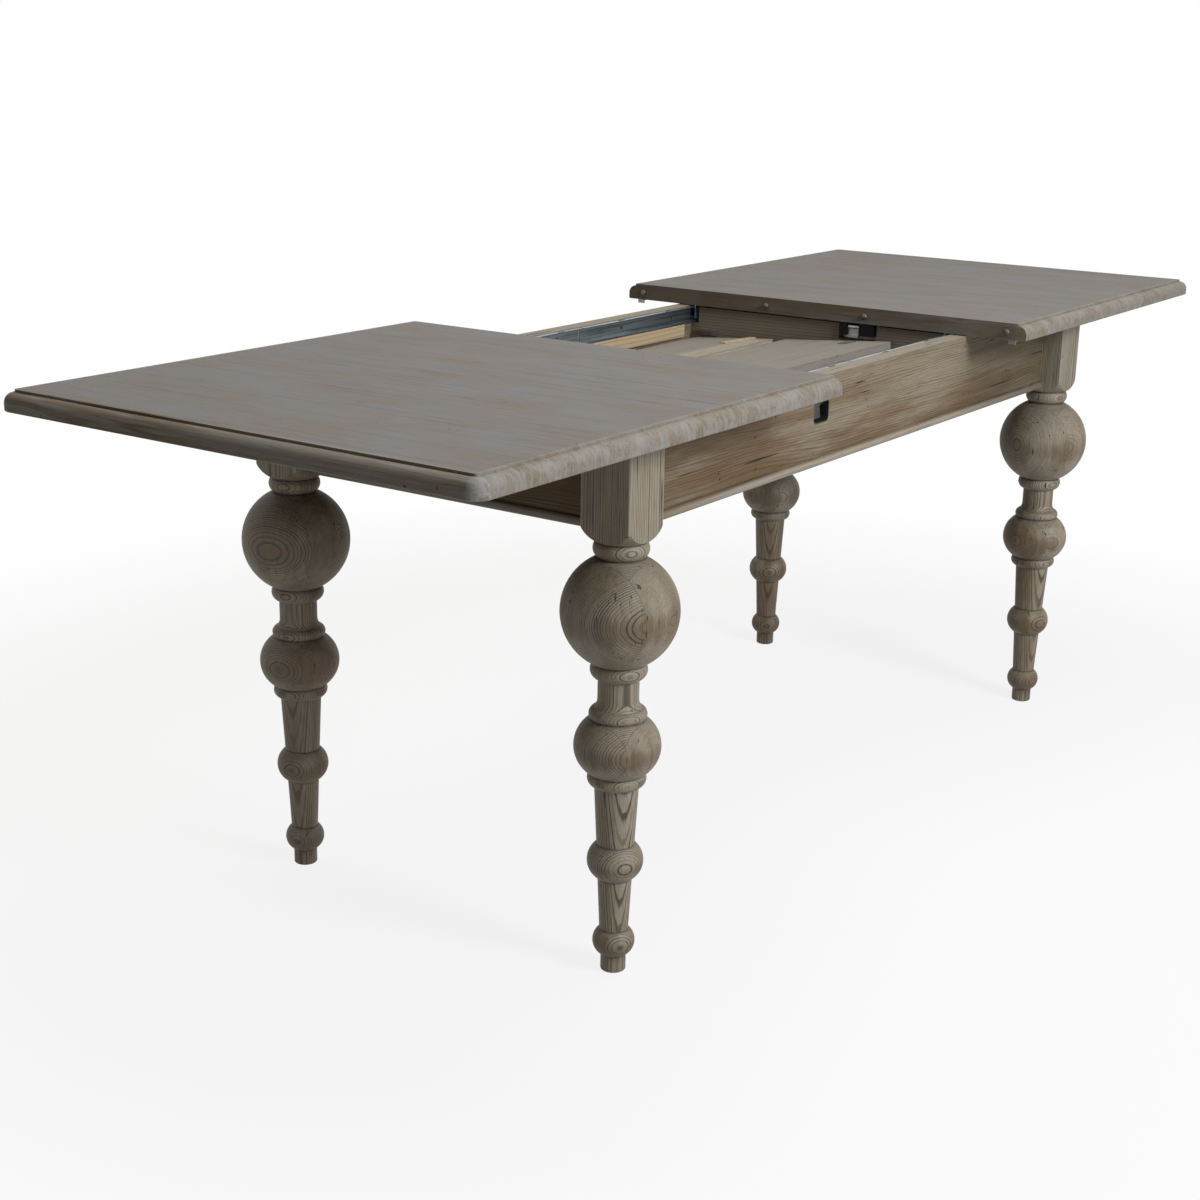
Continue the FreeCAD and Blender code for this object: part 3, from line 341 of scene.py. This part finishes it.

# %% [markdown]
# The balls are wider than the leg's square stock, so cheeks are glued to its four sides before turning.
# Each cheek is another board: where the turning cuts through a glue line, the rings change over.
# The finish follows that: beyond the stock's half width it takes another pith.
# The creases between the turned forms are painted darker as shade, and a coat of wax gives the legs a soft
# shine.

# %% Legs
LEG_X, LEG_Y = 0.692, 0.288
STOCK_HALF = 0.0395
LEG_RING, LEG_WANDER, LEG_KNEE = 0.0027, 0.007, 0.1
GLUE_BLUR = 0.0001
SEAM_CORE, SEAM_FADE = 0.0002, 0.0006
SEAM_TOP = (0.580, 0.600)
BLOCK_START = (0.615, 0.625)
BLOCK_CORNER = (0.0345, 0.0375)
CREASES = (0.024, 0.062, 0.137, 0.187, 0.289, 0.366, 0.4425, 0.5855, 0.607)
CREASE_WIDTH = 0.0022
BANDS = ((0.505, 0.040), (0.323, 0.026), (0.157, 0.018), (0.035, 0.030))
LEGS = {
    "leg_front_left": (-1, -1, (0.058, 0.082), (0.049, 0.088), (-0.020, 0.300)),
    "leg_front_right": (1, -1, (0.040, 0.090), (-0.250, 0.060), (0.050, 0.085)),
    "leg_back_left": (-1, 1, (0.095, 0.030), (0.085, 0.020), (0.060, -0.250)),
    "leg_back_right": (1, 1, (0.080, 0.060), (-0.200, 0.050), (0.060, 0.085)),
}


def leg_wood(name, across, deep, core, cheek_x, cheek_y, shift):
    finish = Finish(name + "_wood")
    x, y, z = finish.axes(finish.place)
    out_x = (x - across * LEG_X).absolute()
    out_y = (y - deep * LEG_Y).absolute()
    on_x = out_x.step(STOCK_HALF - GLUE_BLUR, STOCK_HALF + GLUE_BLUR)
    on_y = out_y.step(STOCK_HALF - GLUE_BLUR, STOCK_HALF + GLUE_BLUR) * (1.0 - on_x)
    middle = (across * LEG_X, deep * LEG_Y)
    pith = []
    for axis in range(2):
        to_x, to_y = cheek_x[axis] - core[axis], cheek_y[axis] - core[axis]
        pith.append(middle[axis] + core[axis] + on_x * to_x + on_y * to_y)
    wood = Timber(finish, ALONG_Z, pith, LEG_RING, LEG_WANDER, shift, LEG_KNEE)
    seam_x = 1.0 - (out_x - STOCK_HALF).absolute().step(SEAM_CORE, SEAM_FADE)
    seam_y = (1.0 - (out_y - STOCK_HALF).absolute().step(SEAM_CORE, SEAM_FADE)) * (1.0 - on_x)
    dirt_and_shade = seam_x.most(seam_y) * (1.0 - z.step(*SEAM_TOP)) * 0.45
    # Painted shade: a dark band at each crease between the turned forms, stronger in some patches.
    crease_shade_strength = 0.35 + 0.65 * wood.patch
    for crease in CREASES:
        dirt_and_shade = dirt_and_shade.most((1.0 - (z - crease).absolute().step(0.0, CREASE_WIDTH)) * crease_shade_strength)
    on_block = z.step(*BLOCK_START)
    edge = out_x.least(out_y).step(*BLOCK_CORNER) * on_block
    wear = edge * (0.35 + 0.65 * wood.patch.step(0.35, 0.6))
    band = 0.0
    for height, reach in BANDS:
        band = (1.0 - (z - height).absolute().step(0.0, reach)) + band
    return aged_wood(finish, wood, 0.52, 0.5, 1.0 - on_y * 0.45, 0.4, 0.45, dirt_and_shade, wear, band, wax=1.0)


for number, (leg, plan) in enumerate(LEGS.items()):
    paint(leg_wood(leg, *plan, 0.7 * number), leg)
print("legs", len(LEGS))

# %% [markdown]
# The aprons and their beads are planks with the grain along them.
# Their upper edges lie hidden under the tops while the table is closed, so they were never washed.
# The beads stand proud and took more of the wash than the faces. The far end of the front apron is also
# darkened a little in the finish, because the picture shows a deeper shadow there than these lights give.

# %% Aprons and beads
APRON_TOP = 0.7505
BEAD_TOP = 0.627
APRON_RING, APRON_WANDER = 0.0036, 0.075
BEAD_BLUR = 0.003
DARK_END = (0.20, 0.55)
PITH_IN, PITH_UP = 0.10, 0.50


def apron_wood(name, grain, pith, shift):
    finish = Finish(name)
    wood = Timber(finish, grain, pith, APRON_RING, APRON_WANDER, shift)
    axes = finish.axes(finish.place)
    height = axes[2]
    on_bead = 1.0 - height.step(BEAD_TOP - BEAD_BLUR, BEAD_TOP + BEAD_BLUR)
    bead = on_bead * (0.3 + 0.7 * wood.patch.step(0.3, 0.6))
    upper = height.step(APRON_TOP - 0.0009, APRON_TOP - 0.0003)
    blush = 0.4 - axes[grain] * 0.5 - (height - BEAD_TOP) * 3.0
    # Painted shadow: darker towards the +X end of the long aprons and the +Y end of the short ones.
    shaded = axes[grain].step(*DARK_END) * 0.45
    return aged_wood(finish, wood, 0.36, 0.6, 0.5, 0.9, 0.25, shaded, bead * 0.6, blush, bare_zone=upper)


paint(apron_wood("apron_front_wood", ALONG_X, (-LEG_Y + PITH_IN, PITH_UP), 0.0), "apron_front", "bead_front")
paint(apron_wood("apron_back_wood", ALONG_X, (LEG_Y - PITH_IN, PITH_UP), 2.0), "apron_back", "bead_back")
paint(apron_wood("apron_end_wood", ALONG_Y, (-LEG_X + PITH_IN, PITH_UP), 0.0),
      "apron_left", "apron_right", "bead_left", "bead_right")
print("aprons and beads painted")

# %% [markdown]
# The tops and the leaf are glued up from boards: across the table in the tops, along it in the leaf.
# Hands and cloths have left them almost even grey, in soft clouds with a few dark flecks. The moulded edges
# keep a blotchy, paler wash, in streaks at the ends. The inner edges meet in the closed table, so they have
# less wash and show the brown wood.

# %% Tops and leaf
TOP_SIDE = 0.395
TOP_END = 1.115
EDGE_WIDTH, EDGE_BLUR = 0.022, 0.004
INNER_EDGE, INNER_BLUR = 0.3152, 0.0003
TOP_RING, TOP_WANDER = 0.007, 0.06
STRIP_RING, STRIP_WANDER = 0.005, 0.03
TOP_LOOKS = {"wash": 0.95, "brown": 0.15, "lines": 0.16, "holes": 0.1, "cracks": -1.0}


def top_wood(name, pith):
    finish = Finish(name)
    wood = Timber(finish, ALONG_Y, pith, TOP_RING, TOP_WANDER)
    x, y, z = finish.axes(finish.place)
    side = y.absolute().step(TOP_SIDE - EDGE_WIDTH, TOP_SIDE - EDGE_WIDTH + EDGE_BLUR)
    end = x.absolute().step(TOP_END - EDGE_WIDTH, TOP_END - EDGE_WIDTH + EDGE_BLUR)
    marks = finish.noise(finish.point(x * 3.0, y * 0.4, z * 0.5), 90.0, 3.0, 0.6)
    blotches = finish.noise(finish.place, 30.0, 3.0, 0.6)
    streaks = finish.noise(finish.point(x, y * 0.05, z), 170.0, 2.0, 0.5)
    rubbed = side * (marks * 0.6 + blotches * 0.7).step(0.4, 0.8) + end * streaks.step(0.42, 0.66)
    clouds = finish.noise(finish.point(x, y * 0.6, 0.0), 11.0, 4.0, 0.65)
    inner = 1.0 - x.absolute().step(INNER_EDGE, INNER_EDGE + INNER_BLUR)
    wear = rubbed.most((1.0 - side.most(end)) * (1.3 - clouds * 1.2)) * (1.0 - inner * 0.6)
    dashes = finish.noise(finish.point(x, y * 0.1, z), 300.0, 2.0, 0.5)
    flecks = dashes.step(0.66, 0.74) * clouds.step(0.48, 0.62)
    pale = finish.mix(side.most(end), GREY_WASH, EDGE_WASH)
    return aged_wood(finish, wood, wear=wear, dirt_and_shade=flecks * 0.6, band=end + inner, pale=pale, **TOP_LOOKS)


paint(top_wood("top_left_wood", (-0.6, 0.62)), "top_left")
paint(top_wood("top_right_wood", (0.8, 0.62)), "top_right")
leaf_wood = plank_wood("leaf_wood", ALONG_X, (0.1, 0.52), TOP_RING, TOP_WANDER, wear=0.75, pale=LEAF_WASH,
                       **TOP_LOOKS)
strip_wood = plank_wood("leaf_strip_wood", ALONG_X, (0.3, 0.52), STRIP_RING, STRIP_WANDER, wash=0.9, brown=0.2,
                        lines=0.3, holes=0.0, cracks=-1.0)
paint(leaf_wood, "leaf_upper", "leaf_lower")
paint(strip_wood, "leaf_strip")
print("tops and leaf painted")


# %% [markdown]
# Inside the well the pine was left bare, and the slides and fittings are plated steel.
# Plating could be one even grey, but it dulls in patches, and a rolled channel keeps lines along its length.
# So each steel mixes its tint with a darker one by a noise, which is drawn out along the channels.

# %% Bare pine, steel and plastic
PINE_RING, PINE_WANDER, PINE_DEPTH = 0.005, 0.03, 0.0003
PINE_PITH = (0.3, 0.66)
PINE_FLECK = linear(120, 90, 60)
PLASTIC_DEPTH = 0.0001


def bare_pine(name, grain, pith, pale, dark):
    finish = Finish(name)
    wood = Timber(finish, grain, pith, PINE_RING, PINE_WANDER)
    base = finish.mix(wood.late * 0.6, pale, dark)
    colour = finish.mix(wood.fibre.step(0.42, 0.3) * 0.3, base, PINE_FLECK)
    normal = finish.bump(wood.fibre, PINE_DEPTH, 0.4)
    return finish.finish(colour, 0.6, normal, **{"Specular IOR Level": 0.3})


def plated_steel(name, tint, rough, rolled=0.0):
    """Zinc-plated steel. Rolled channels keep dark lines along their length."""
    finish = Finish(name)
    x, y, z = finish.axes(finish.place)
    marks = finish.noise(finish.place, 60.0, 4.0, 0.6)
    draws = finish.noise(finish.point(x * 0.02, y, z), 330.0, 2.0, 0.6)
    shade = marks.step(0.3, 0.7) * (1.0 - rolled) + draws.step(0.42, 0.62) * rolled
    colour = finish.mix(shade, tint, tuple(value * (0.7 - 0.35 * rolled) for value in tint))
    return finish.finish(colour, rough + marks * 0.15, None, Metallic=1.0)


def moulded_plastic(name, tint):
    finish = Finish(name)
    grain = finish.noise(finish.place, 2600.0, 2.0)
    normal = finish.bump(grain, PLASTIC_DEPTH, 0.3)
    return finish.finish((*tint, 1.0), 0.6 + grain * 0.1, normal, **{"Specular IOR Level": 0.15})


slide_steel = plated_steel("slide_steel", linear(160, 174, 184), 0.3, 0.8)
fitting_steel = plated_steel("fitting_steel", linear(140, 142, 140), 0.36)
dull_steel = plated_steel("dull_steel", linear(96, 98, 96), 0.5)
dark_steel = plated_steel("dark_steel", linear(84, 88, 86), 0.4)
bright_steel = plated_steel("bright_steel", linear(176, 178, 178), 0.3)
screw_zinc = plated_steel("screw_zinc", linear(120, 116, 106), 0.4)
black_plastic = moulded_plastic("black_plastic", linear(16, 16, 17))
pine_along = bare_pine("pine_along", ALONG_X, PINE_PITH, linear(176, 158, 128), linear(140, 116, 84))
pine_across = bare_pine("pine_across", ALONG_Y, PINE_PITH, linear(126, 117, 102), linear(88, 78, 64))
STARTS = {
    slide_steel: ("slide_channel", "slide_member", "slide_brackets", "slide_cages"),
    fitting_steel: ("leaf_catches", "lock_keeper", "lock_pin", "leaf_hinge", "leaf_plate", "rail_clips",
                    "slide_balls"),
    dull_steel: ("pin_sockets", "locating_pins", "latch_lever"),
    dark_steel: ("latch_cup", "latch_pin"),
    bright_steel: ("lock_tongue",),
    screw_zinc: ("channel_screws", "half_screws", "leg_bolts", "leg_nuts"),
    black_plastic: ("lock_housing",),
    pine_along: ("slide_ledge", "leaf_packer"),
    pine_across: ("cross_rail", "leaf_bearers", "corner_blocks"),
}
for material, starts in STARTS.items():
    painted = [name for name in nodes if name.startswith(starts)]
    paint(material, *painted)
    print(material.name, len(painted))

# %% [markdown]
# The screws that hold the slides and their brackets all follow one rule: a countersunk head with a cross in
# it, a shank and a point, turned at random where the screwdriver stopped.
# They could be modelled once and copied by hand, but then a change has to be made again for every copy.
# A node tree builds the screw from its sizes and sets it on each place, and a fixed seed keeps the turns.

# %% Screws
HEAD_RADIUS, HEAD_HEIGHT = 0.004, 0.0024
SHANK_RADIUS, SHANK_LENGTH = 0.0019, 0.0116
TIP_LENGTH, TIP_RADIUS = 0.004, 0.0002
CROSS_LENGTH, CROSS_WIDTH, CROSS_DEPTH = 0.0048, 0.0011, 0.0014
HEAD_SIDES, SHANK_SIDES = 32, 24
MERGE_DISTANCE = 1e-6


def grow(tree, kind, settings, inputs):
    """Add one geometry node, set its options, then link or set its inputs."""
    made = tree.nodes.new(kind)
    for key, value in settings.items():
        setattr(made, key, value)
    for key, value in inputs.items():
        if isinstance(value, bpy.types.NodeSocket):
            tree.links.new(value, made.inputs[key])
        else:
            made.inputs[key].default_value = value
    return made


def times(tree, value, factor):
    """A number or a socket times a factor."""
    inputs = {0: value, 1: factor}
    return grow(tree, "ShaderNodeMath", {"operation": "MULTIPLY"}, inputs).outputs[0]


def moved(tree, geometry, place):
    return grow(tree, "GeometryNodeTransform", {}, {"Geometry": geometry, "Translation": place}).outputs[0]


def screw_tree(material):
    tree = bpy.data.node_groups.new("screw_rule", "GeometryNodeTree")
    tree.interface.new_socket("Geometry", in_out="OUTPUT", socket_type="NodeSocketGeometry")
    tree.interface.new_socket("Places", in_out="INPUT", socket_type="NodeSocketGeometry")
    for name in ("Head Radius", "Head Height", "Cross Length", "Cross Width", "Cross Depth"):
        tree.interface.new_socket(name, in_out="INPUT", socket_type="NodeSocketFloat")
    tree.interface.new_socket("Seed", in_out="INPUT", socket_type="NodeSocketInt")
    given = tree.nodes.new("NodeGroupInput").outputs
    low = grow(tree, "ShaderNodeCombineXYZ", {}, {"Z": times(tree, given["Head Height"], -1.0)}).outputs[0]
    cone = {"Vertices": HEAD_SIDES, "Radius Top": given["Head Radius"], "Radius Bottom": SHANK_RADIUS,
            "Depth": given["Head Height"]}
    head = moved(tree, grow(tree, "GeometryNodeMeshCone", {}, cone).outputs["Mesh"], low)
    deep = times(tree, given["Cross Depth"], 2.0)
    bored = grow(tree, "GeometryNodeMeshBoolean", {"operation": "DIFFERENCE"}, {0: head})
    for sides in (("Cross Length", "Cross Width"), ("Cross Width", "Cross Length")):
        box = {"X": given[sides[0]], "Y": given[sides[1]], "Z": deep}
        size = grow(tree, "ShaderNodeCombineXYZ", {}, box).outputs[0]
        cutter = grow(tree, "GeometryNodeMeshCube", {}, {"Size": size}).outputs["Mesh"]
        tree.links.new(cutter, bored.inputs[1])
    rod = {"Vertices": SHANK_SIDES, "Radius": SHANK_RADIUS, "Depth": SHANK_LENGTH}
    shank = grow(tree, "GeometryNodeMeshCylinder", {}, rod).outputs["Mesh"]
    shank = moved(tree, shank, (0, 0, -HEAD_HEIGHT - SHANK_LENGTH / 2))
    point = {"Vertices": SHANK_SIDES, "Radius Top": SHANK_RADIUS, "Radius Bottom": TIP_RADIUS,
             "Depth": TIP_LENGTH}
    tip = grow(tree, "GeometryNodeMeshCone", {}, point).outputs["Mesh"]
    tip = moved(tree, tip, (0, 0, -HEAD_HEIGHT - SHANK_LENGTH - TIP_LENGTH))
    whole = tree.nodes.new("GeometryNodeJoinGeometry")
    for part in (bored.outputs[0], shank, tip):
        tree.links.new(part, whole.inputs[0])
    facing = grow(tree, "GeometryNodeInputNamedAttribute", {"data_type": "FLOAT_VECTOR"}, {"Name": "facing"})
    outward = {"Vector": facing.outputs["Attribute"]}
    stand = grow(tree, "FunctionNodeAlignRotationToVector", {"axis": "Z"}, outward)
    stop = grow(tree, "FunctionNodeRandomValue", {"data_type": "FLOAT"}, {"Seed": given["Seed"]})
    angle = times(tree, stop.outputs[1], math.pi)
    spin = grow(tree, "FunctionNodeAxisAngleToRotation", {}, {"Axis": (0, 0, 1), "Angle": angle})
    turned = grow(tree, "FunctionNodeRotateRotation", {"rotation_space": "LOCAL"},
                  {"Rotation": stand.outputs[0], "Rotate By": spin.outputs[0]})
    places = {"Points": given["Places"], "Instance": whole.outputs[0], "Rotation": turned.outputs[0]}
    sown = grow(tree, "GeometryNodeInstanceOnPoints", {}, places)
    real = grow(tree, "GeometryNodeRealizeInstances", {}, {"Geometry": sown.outputs[0]})
    dressed = grow(tree, "GeometryNodeSetMaterial", {}, {"Geometry": real.outputs[0], "Material": material})
    grow(tree, "NodeGroupOutput", {}, {"Geometry": dressed.outputs[0]})
    return tree


def loose_boxes(node):
    """The corners of each separate solid of a CAD node."""
    work = bmesh.new()
    work.from_mesh(nodes[node].data)
    bmesh.ops.remove_doubles(work, verts=work.verts, dist=MERGE_DISTANCE)
    waiting = set(work.verts)
    boxes = []
    while waiting:
        front = [waiting.pop()]
        found = list(front)
        while front:
            for edge in front.pop().link_edges:
                for vert in edge.verts:
                    if vert in waiting:
                        waiting.discard(vert)
                        front.append(vert)
                        found.append(vert)
        spots = np.array([nodes[node].matrix_world @ vert.co for vert in found])
        boxes.append((spots.min(axis=0), spots.max(axis=0)))
    work.free()
    return sorted(boxes, key=lambda box: tuple(np.round(box[0], 5)))


def screw_places(node, axis):
    """Where each screw's head lies and which way it faces: into the well, or down."""
    places, facings = [], []
    for low, high in loose_boxes(node):
        spot = (low + high) / 2
        side = -math.copysign(1.0, spot[1]) if axis == 1 else -1.0
        spot[axis] = high[axis] if side > 0 else low[axis]
        facing = [0.0, 0.0, 0.0]
        facing[axis] = side
        places.append(tuple(spot))
        facings.append(facing)
    return places, facings


def screws(name, node, axis, body, seed, tree):
    places, facings = screw_places(node, axis)
    points = bpy.data.meshes.new(name + "_places")
    points.from_pydata(places, [], [])
    values = points.attributes.new("facing", "FLOAT_VECTOR", "POINT")
    values.data.foreach_set("vector", np.ravel(facings))
    seedbed = bpy.data.objects.new(name + "_places", points)
    scene.collection.objects.link(seedbed)
    rule = seedbed.modifiers.new("screw_rule", "NODES")
    rule.node_group = tree
    wanted = {"Head Radius": HEAD_RADIUS, "Head Height": HEAD_HEIGHT, "Cross Length": CROSS_LENGTH,
              "Cross Width": CROSS_WIDTH, "Cross Depth": CROSS_DEPTH, "Seed": seed}
    for socket in tree.interface.items_tree:
        if socket.in_out == "INPUT" and socket.name in wanted:
            rule[socket.identifier] = wanted[socket.name]
    bpy.context.view_layer.update()
    grown = seedbed.evaluated_get(bpy.context.evaluated_depsgraph_get())
    mesh = bpy.data.meshes.new_from_object(grown)
    mesh.name = name
    piece = bpy.data.objects.new(name, mesh)
    scene.collection.objects.link(piece)
    bpy.data.objects.remove(seedbed)
    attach(piece, body)
    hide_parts(node)
    print(name, len(places), "screws", len(mesh.polygons), "faces")


rule_tree = screw_tree(screw_zinc)
screws("slide_screw_heads", "channel_screws", 1, "frame", 3, rule_tree)
screws("left_screw_heads", "half_screws_left", 2, "left_half", 5, rule_tree)
screws("right_screw_heads", "half_screws_right", 2, "right_half", 8, rule_tree)

# %% [markdown]
# The picture looks like a bright studio: a soft light on the front side, a larger one overhead and a pale room.
# More light would turn the floor white but bleach the wood. So the room and the floor are white to the eye
# only, and the floor mixes that with its own shading near the table, which keeps the table's shadow.

# %% Light and floor


def area_light(name, place, target, size, power, tint):
    data = bpy.data.lights.new(name, "AREA")
    data.shape = "SQUARE"
    data.size = size
    data.energy = power
    data.color = tint
    light = bpy.data.objects.new(name, data)
    light.location = place
    light.rotation_euler = (Vector(target) - Vector(place)).to_track_quat("-Z", "Y").to_euler()
    scene.collection.objects.link(light)


KEY = {"place": (-0.4, -3.5, 2.35), "target": (0, 0, 0.5), "size": 1.2, "power": 128,
       "tint": (0.96, 0.98, 1.04)}
OVERHEAD = {"place": (0.3, 0.0, 3.8), "target": (0, 0, 0), "size": 3.2, "power": 84, "tint": (1.0, 0.98, 0.92)}
area_light("key", **KEY)
area_light("overhead", **OVERHEAD)


def seen_rays(tree):
    """1 for what the eye sees, straight, mirrored or through glass, and 0 for light that bounces."""
    path = tree.nodes.new("ShaderNodeLightPath")
    share = path.outputs["Is Camera Ray"]
    for other in ("Is Glossy Ray", "Is Transmission Ray"):
        most = tree.nodes.new("ShaderNodeMath")
        most.operation = "MAXIMUM"
        tree.links.new(share, most.inputs[0])
        tree.links.new(path.outputs[other], most.inputs[1])
        share = most.outputs[0]
    return share


ROOM_LIGHT = 0.08
ROOM_WARM = (1.0, 0.9, 0.74, 1.0)
ROOM_SEEN = (1.0, 1.0, 1.0, 1.0)
world = bpy.data.worlds.new("room")
scene.world = world
world.use_nodes = True
room = world.node_tree
room.nodes.clear()
back = room.nodes.new("ShaderNodeBackground")
level = room.nodes.new("ShaderNodeMapRange")
level.inputs["To Min"].default_value = ROOM_LIGHT
level.inputs["To Max"].default_value = 1.0
warm = room.nodes.new("ShaderNodeMix")
warm.data_type = "RGBA"
warm.inputs[6].default_value = ROOM_WARM
warm.inputs[7].default_value = ROOM_SEEN
surround = room.nodes.new("ShaderNodeOutputWorld")
seen = seen_rays(room)
room.links.new(seen, level.inputs["Value"])
room.links.new(seen, warm.inputs[0])
room.links.new(level.outputs[0], back.inputs["Strength"])
room.links.new(warm.outputs[2], back.inputs["Color"])
room.links.new(back.outputs[0], surround.inputs["Surface"])

FLOOR_REACH = 14.0
FLOOR_LEVEL = -0.0005
FLOOR_PALE = (0.7, 0.7, 0.7, 1.0)
FLOOR_FADE = (1.1, 2.2)
FLOOR_WHITE = 0.85
floor_mesh = bpy.data.meshes.new("floor")
corners = [(-1, -1), (1, -1), (1, 1), (-1, 1)]
spread = [(x * FLOOR_REACH, y * FLOOR_REACH, FLOOR_LEVEL) for x, y in corners]
floor_mesh.from_pydata(spread, [], [(0, 1, 2, 3)])
floor = bpy.data.objects.new("floor", floor_mesh)
scene.collection.objects.link(floor)
pale = Finish("floor_pale")
pale.finish(FLOOR_PALE, 0.9, None, **{"Specular IOR Level": 0.0})
floor_x, floor_y = pale.axes(pale.place)[:2]
far = (floor_x * floor_x + floor_y * floor_y).root().step(*FLOOR_FADE)
glow = pale.tree.nodes.new("ShaderNodeEmission")
fade = pale.tree.nodes.new("ShaderNodeMixShader")
shown = (FLOOR_WHITE + far * (1.0 - FLOOR_WHITE)) * Wire(pale, seen_rays(pale.tree))
pale.tree.links.new(shown.socket, fade.inputs[0])
pale.tree.links.new(pale.shader.outputs[0], fade.inputs[1])
pale.tree.links.new(glow.outputs[0], fade.inputs[2])
pale.tree.links.new(fade.outputs[0], pale.output.inputs["Surface"])
floor_mesh.materials.append(pale.material)
scene.view_settings.view_transform = "Standard"
print("lights and floor ready")
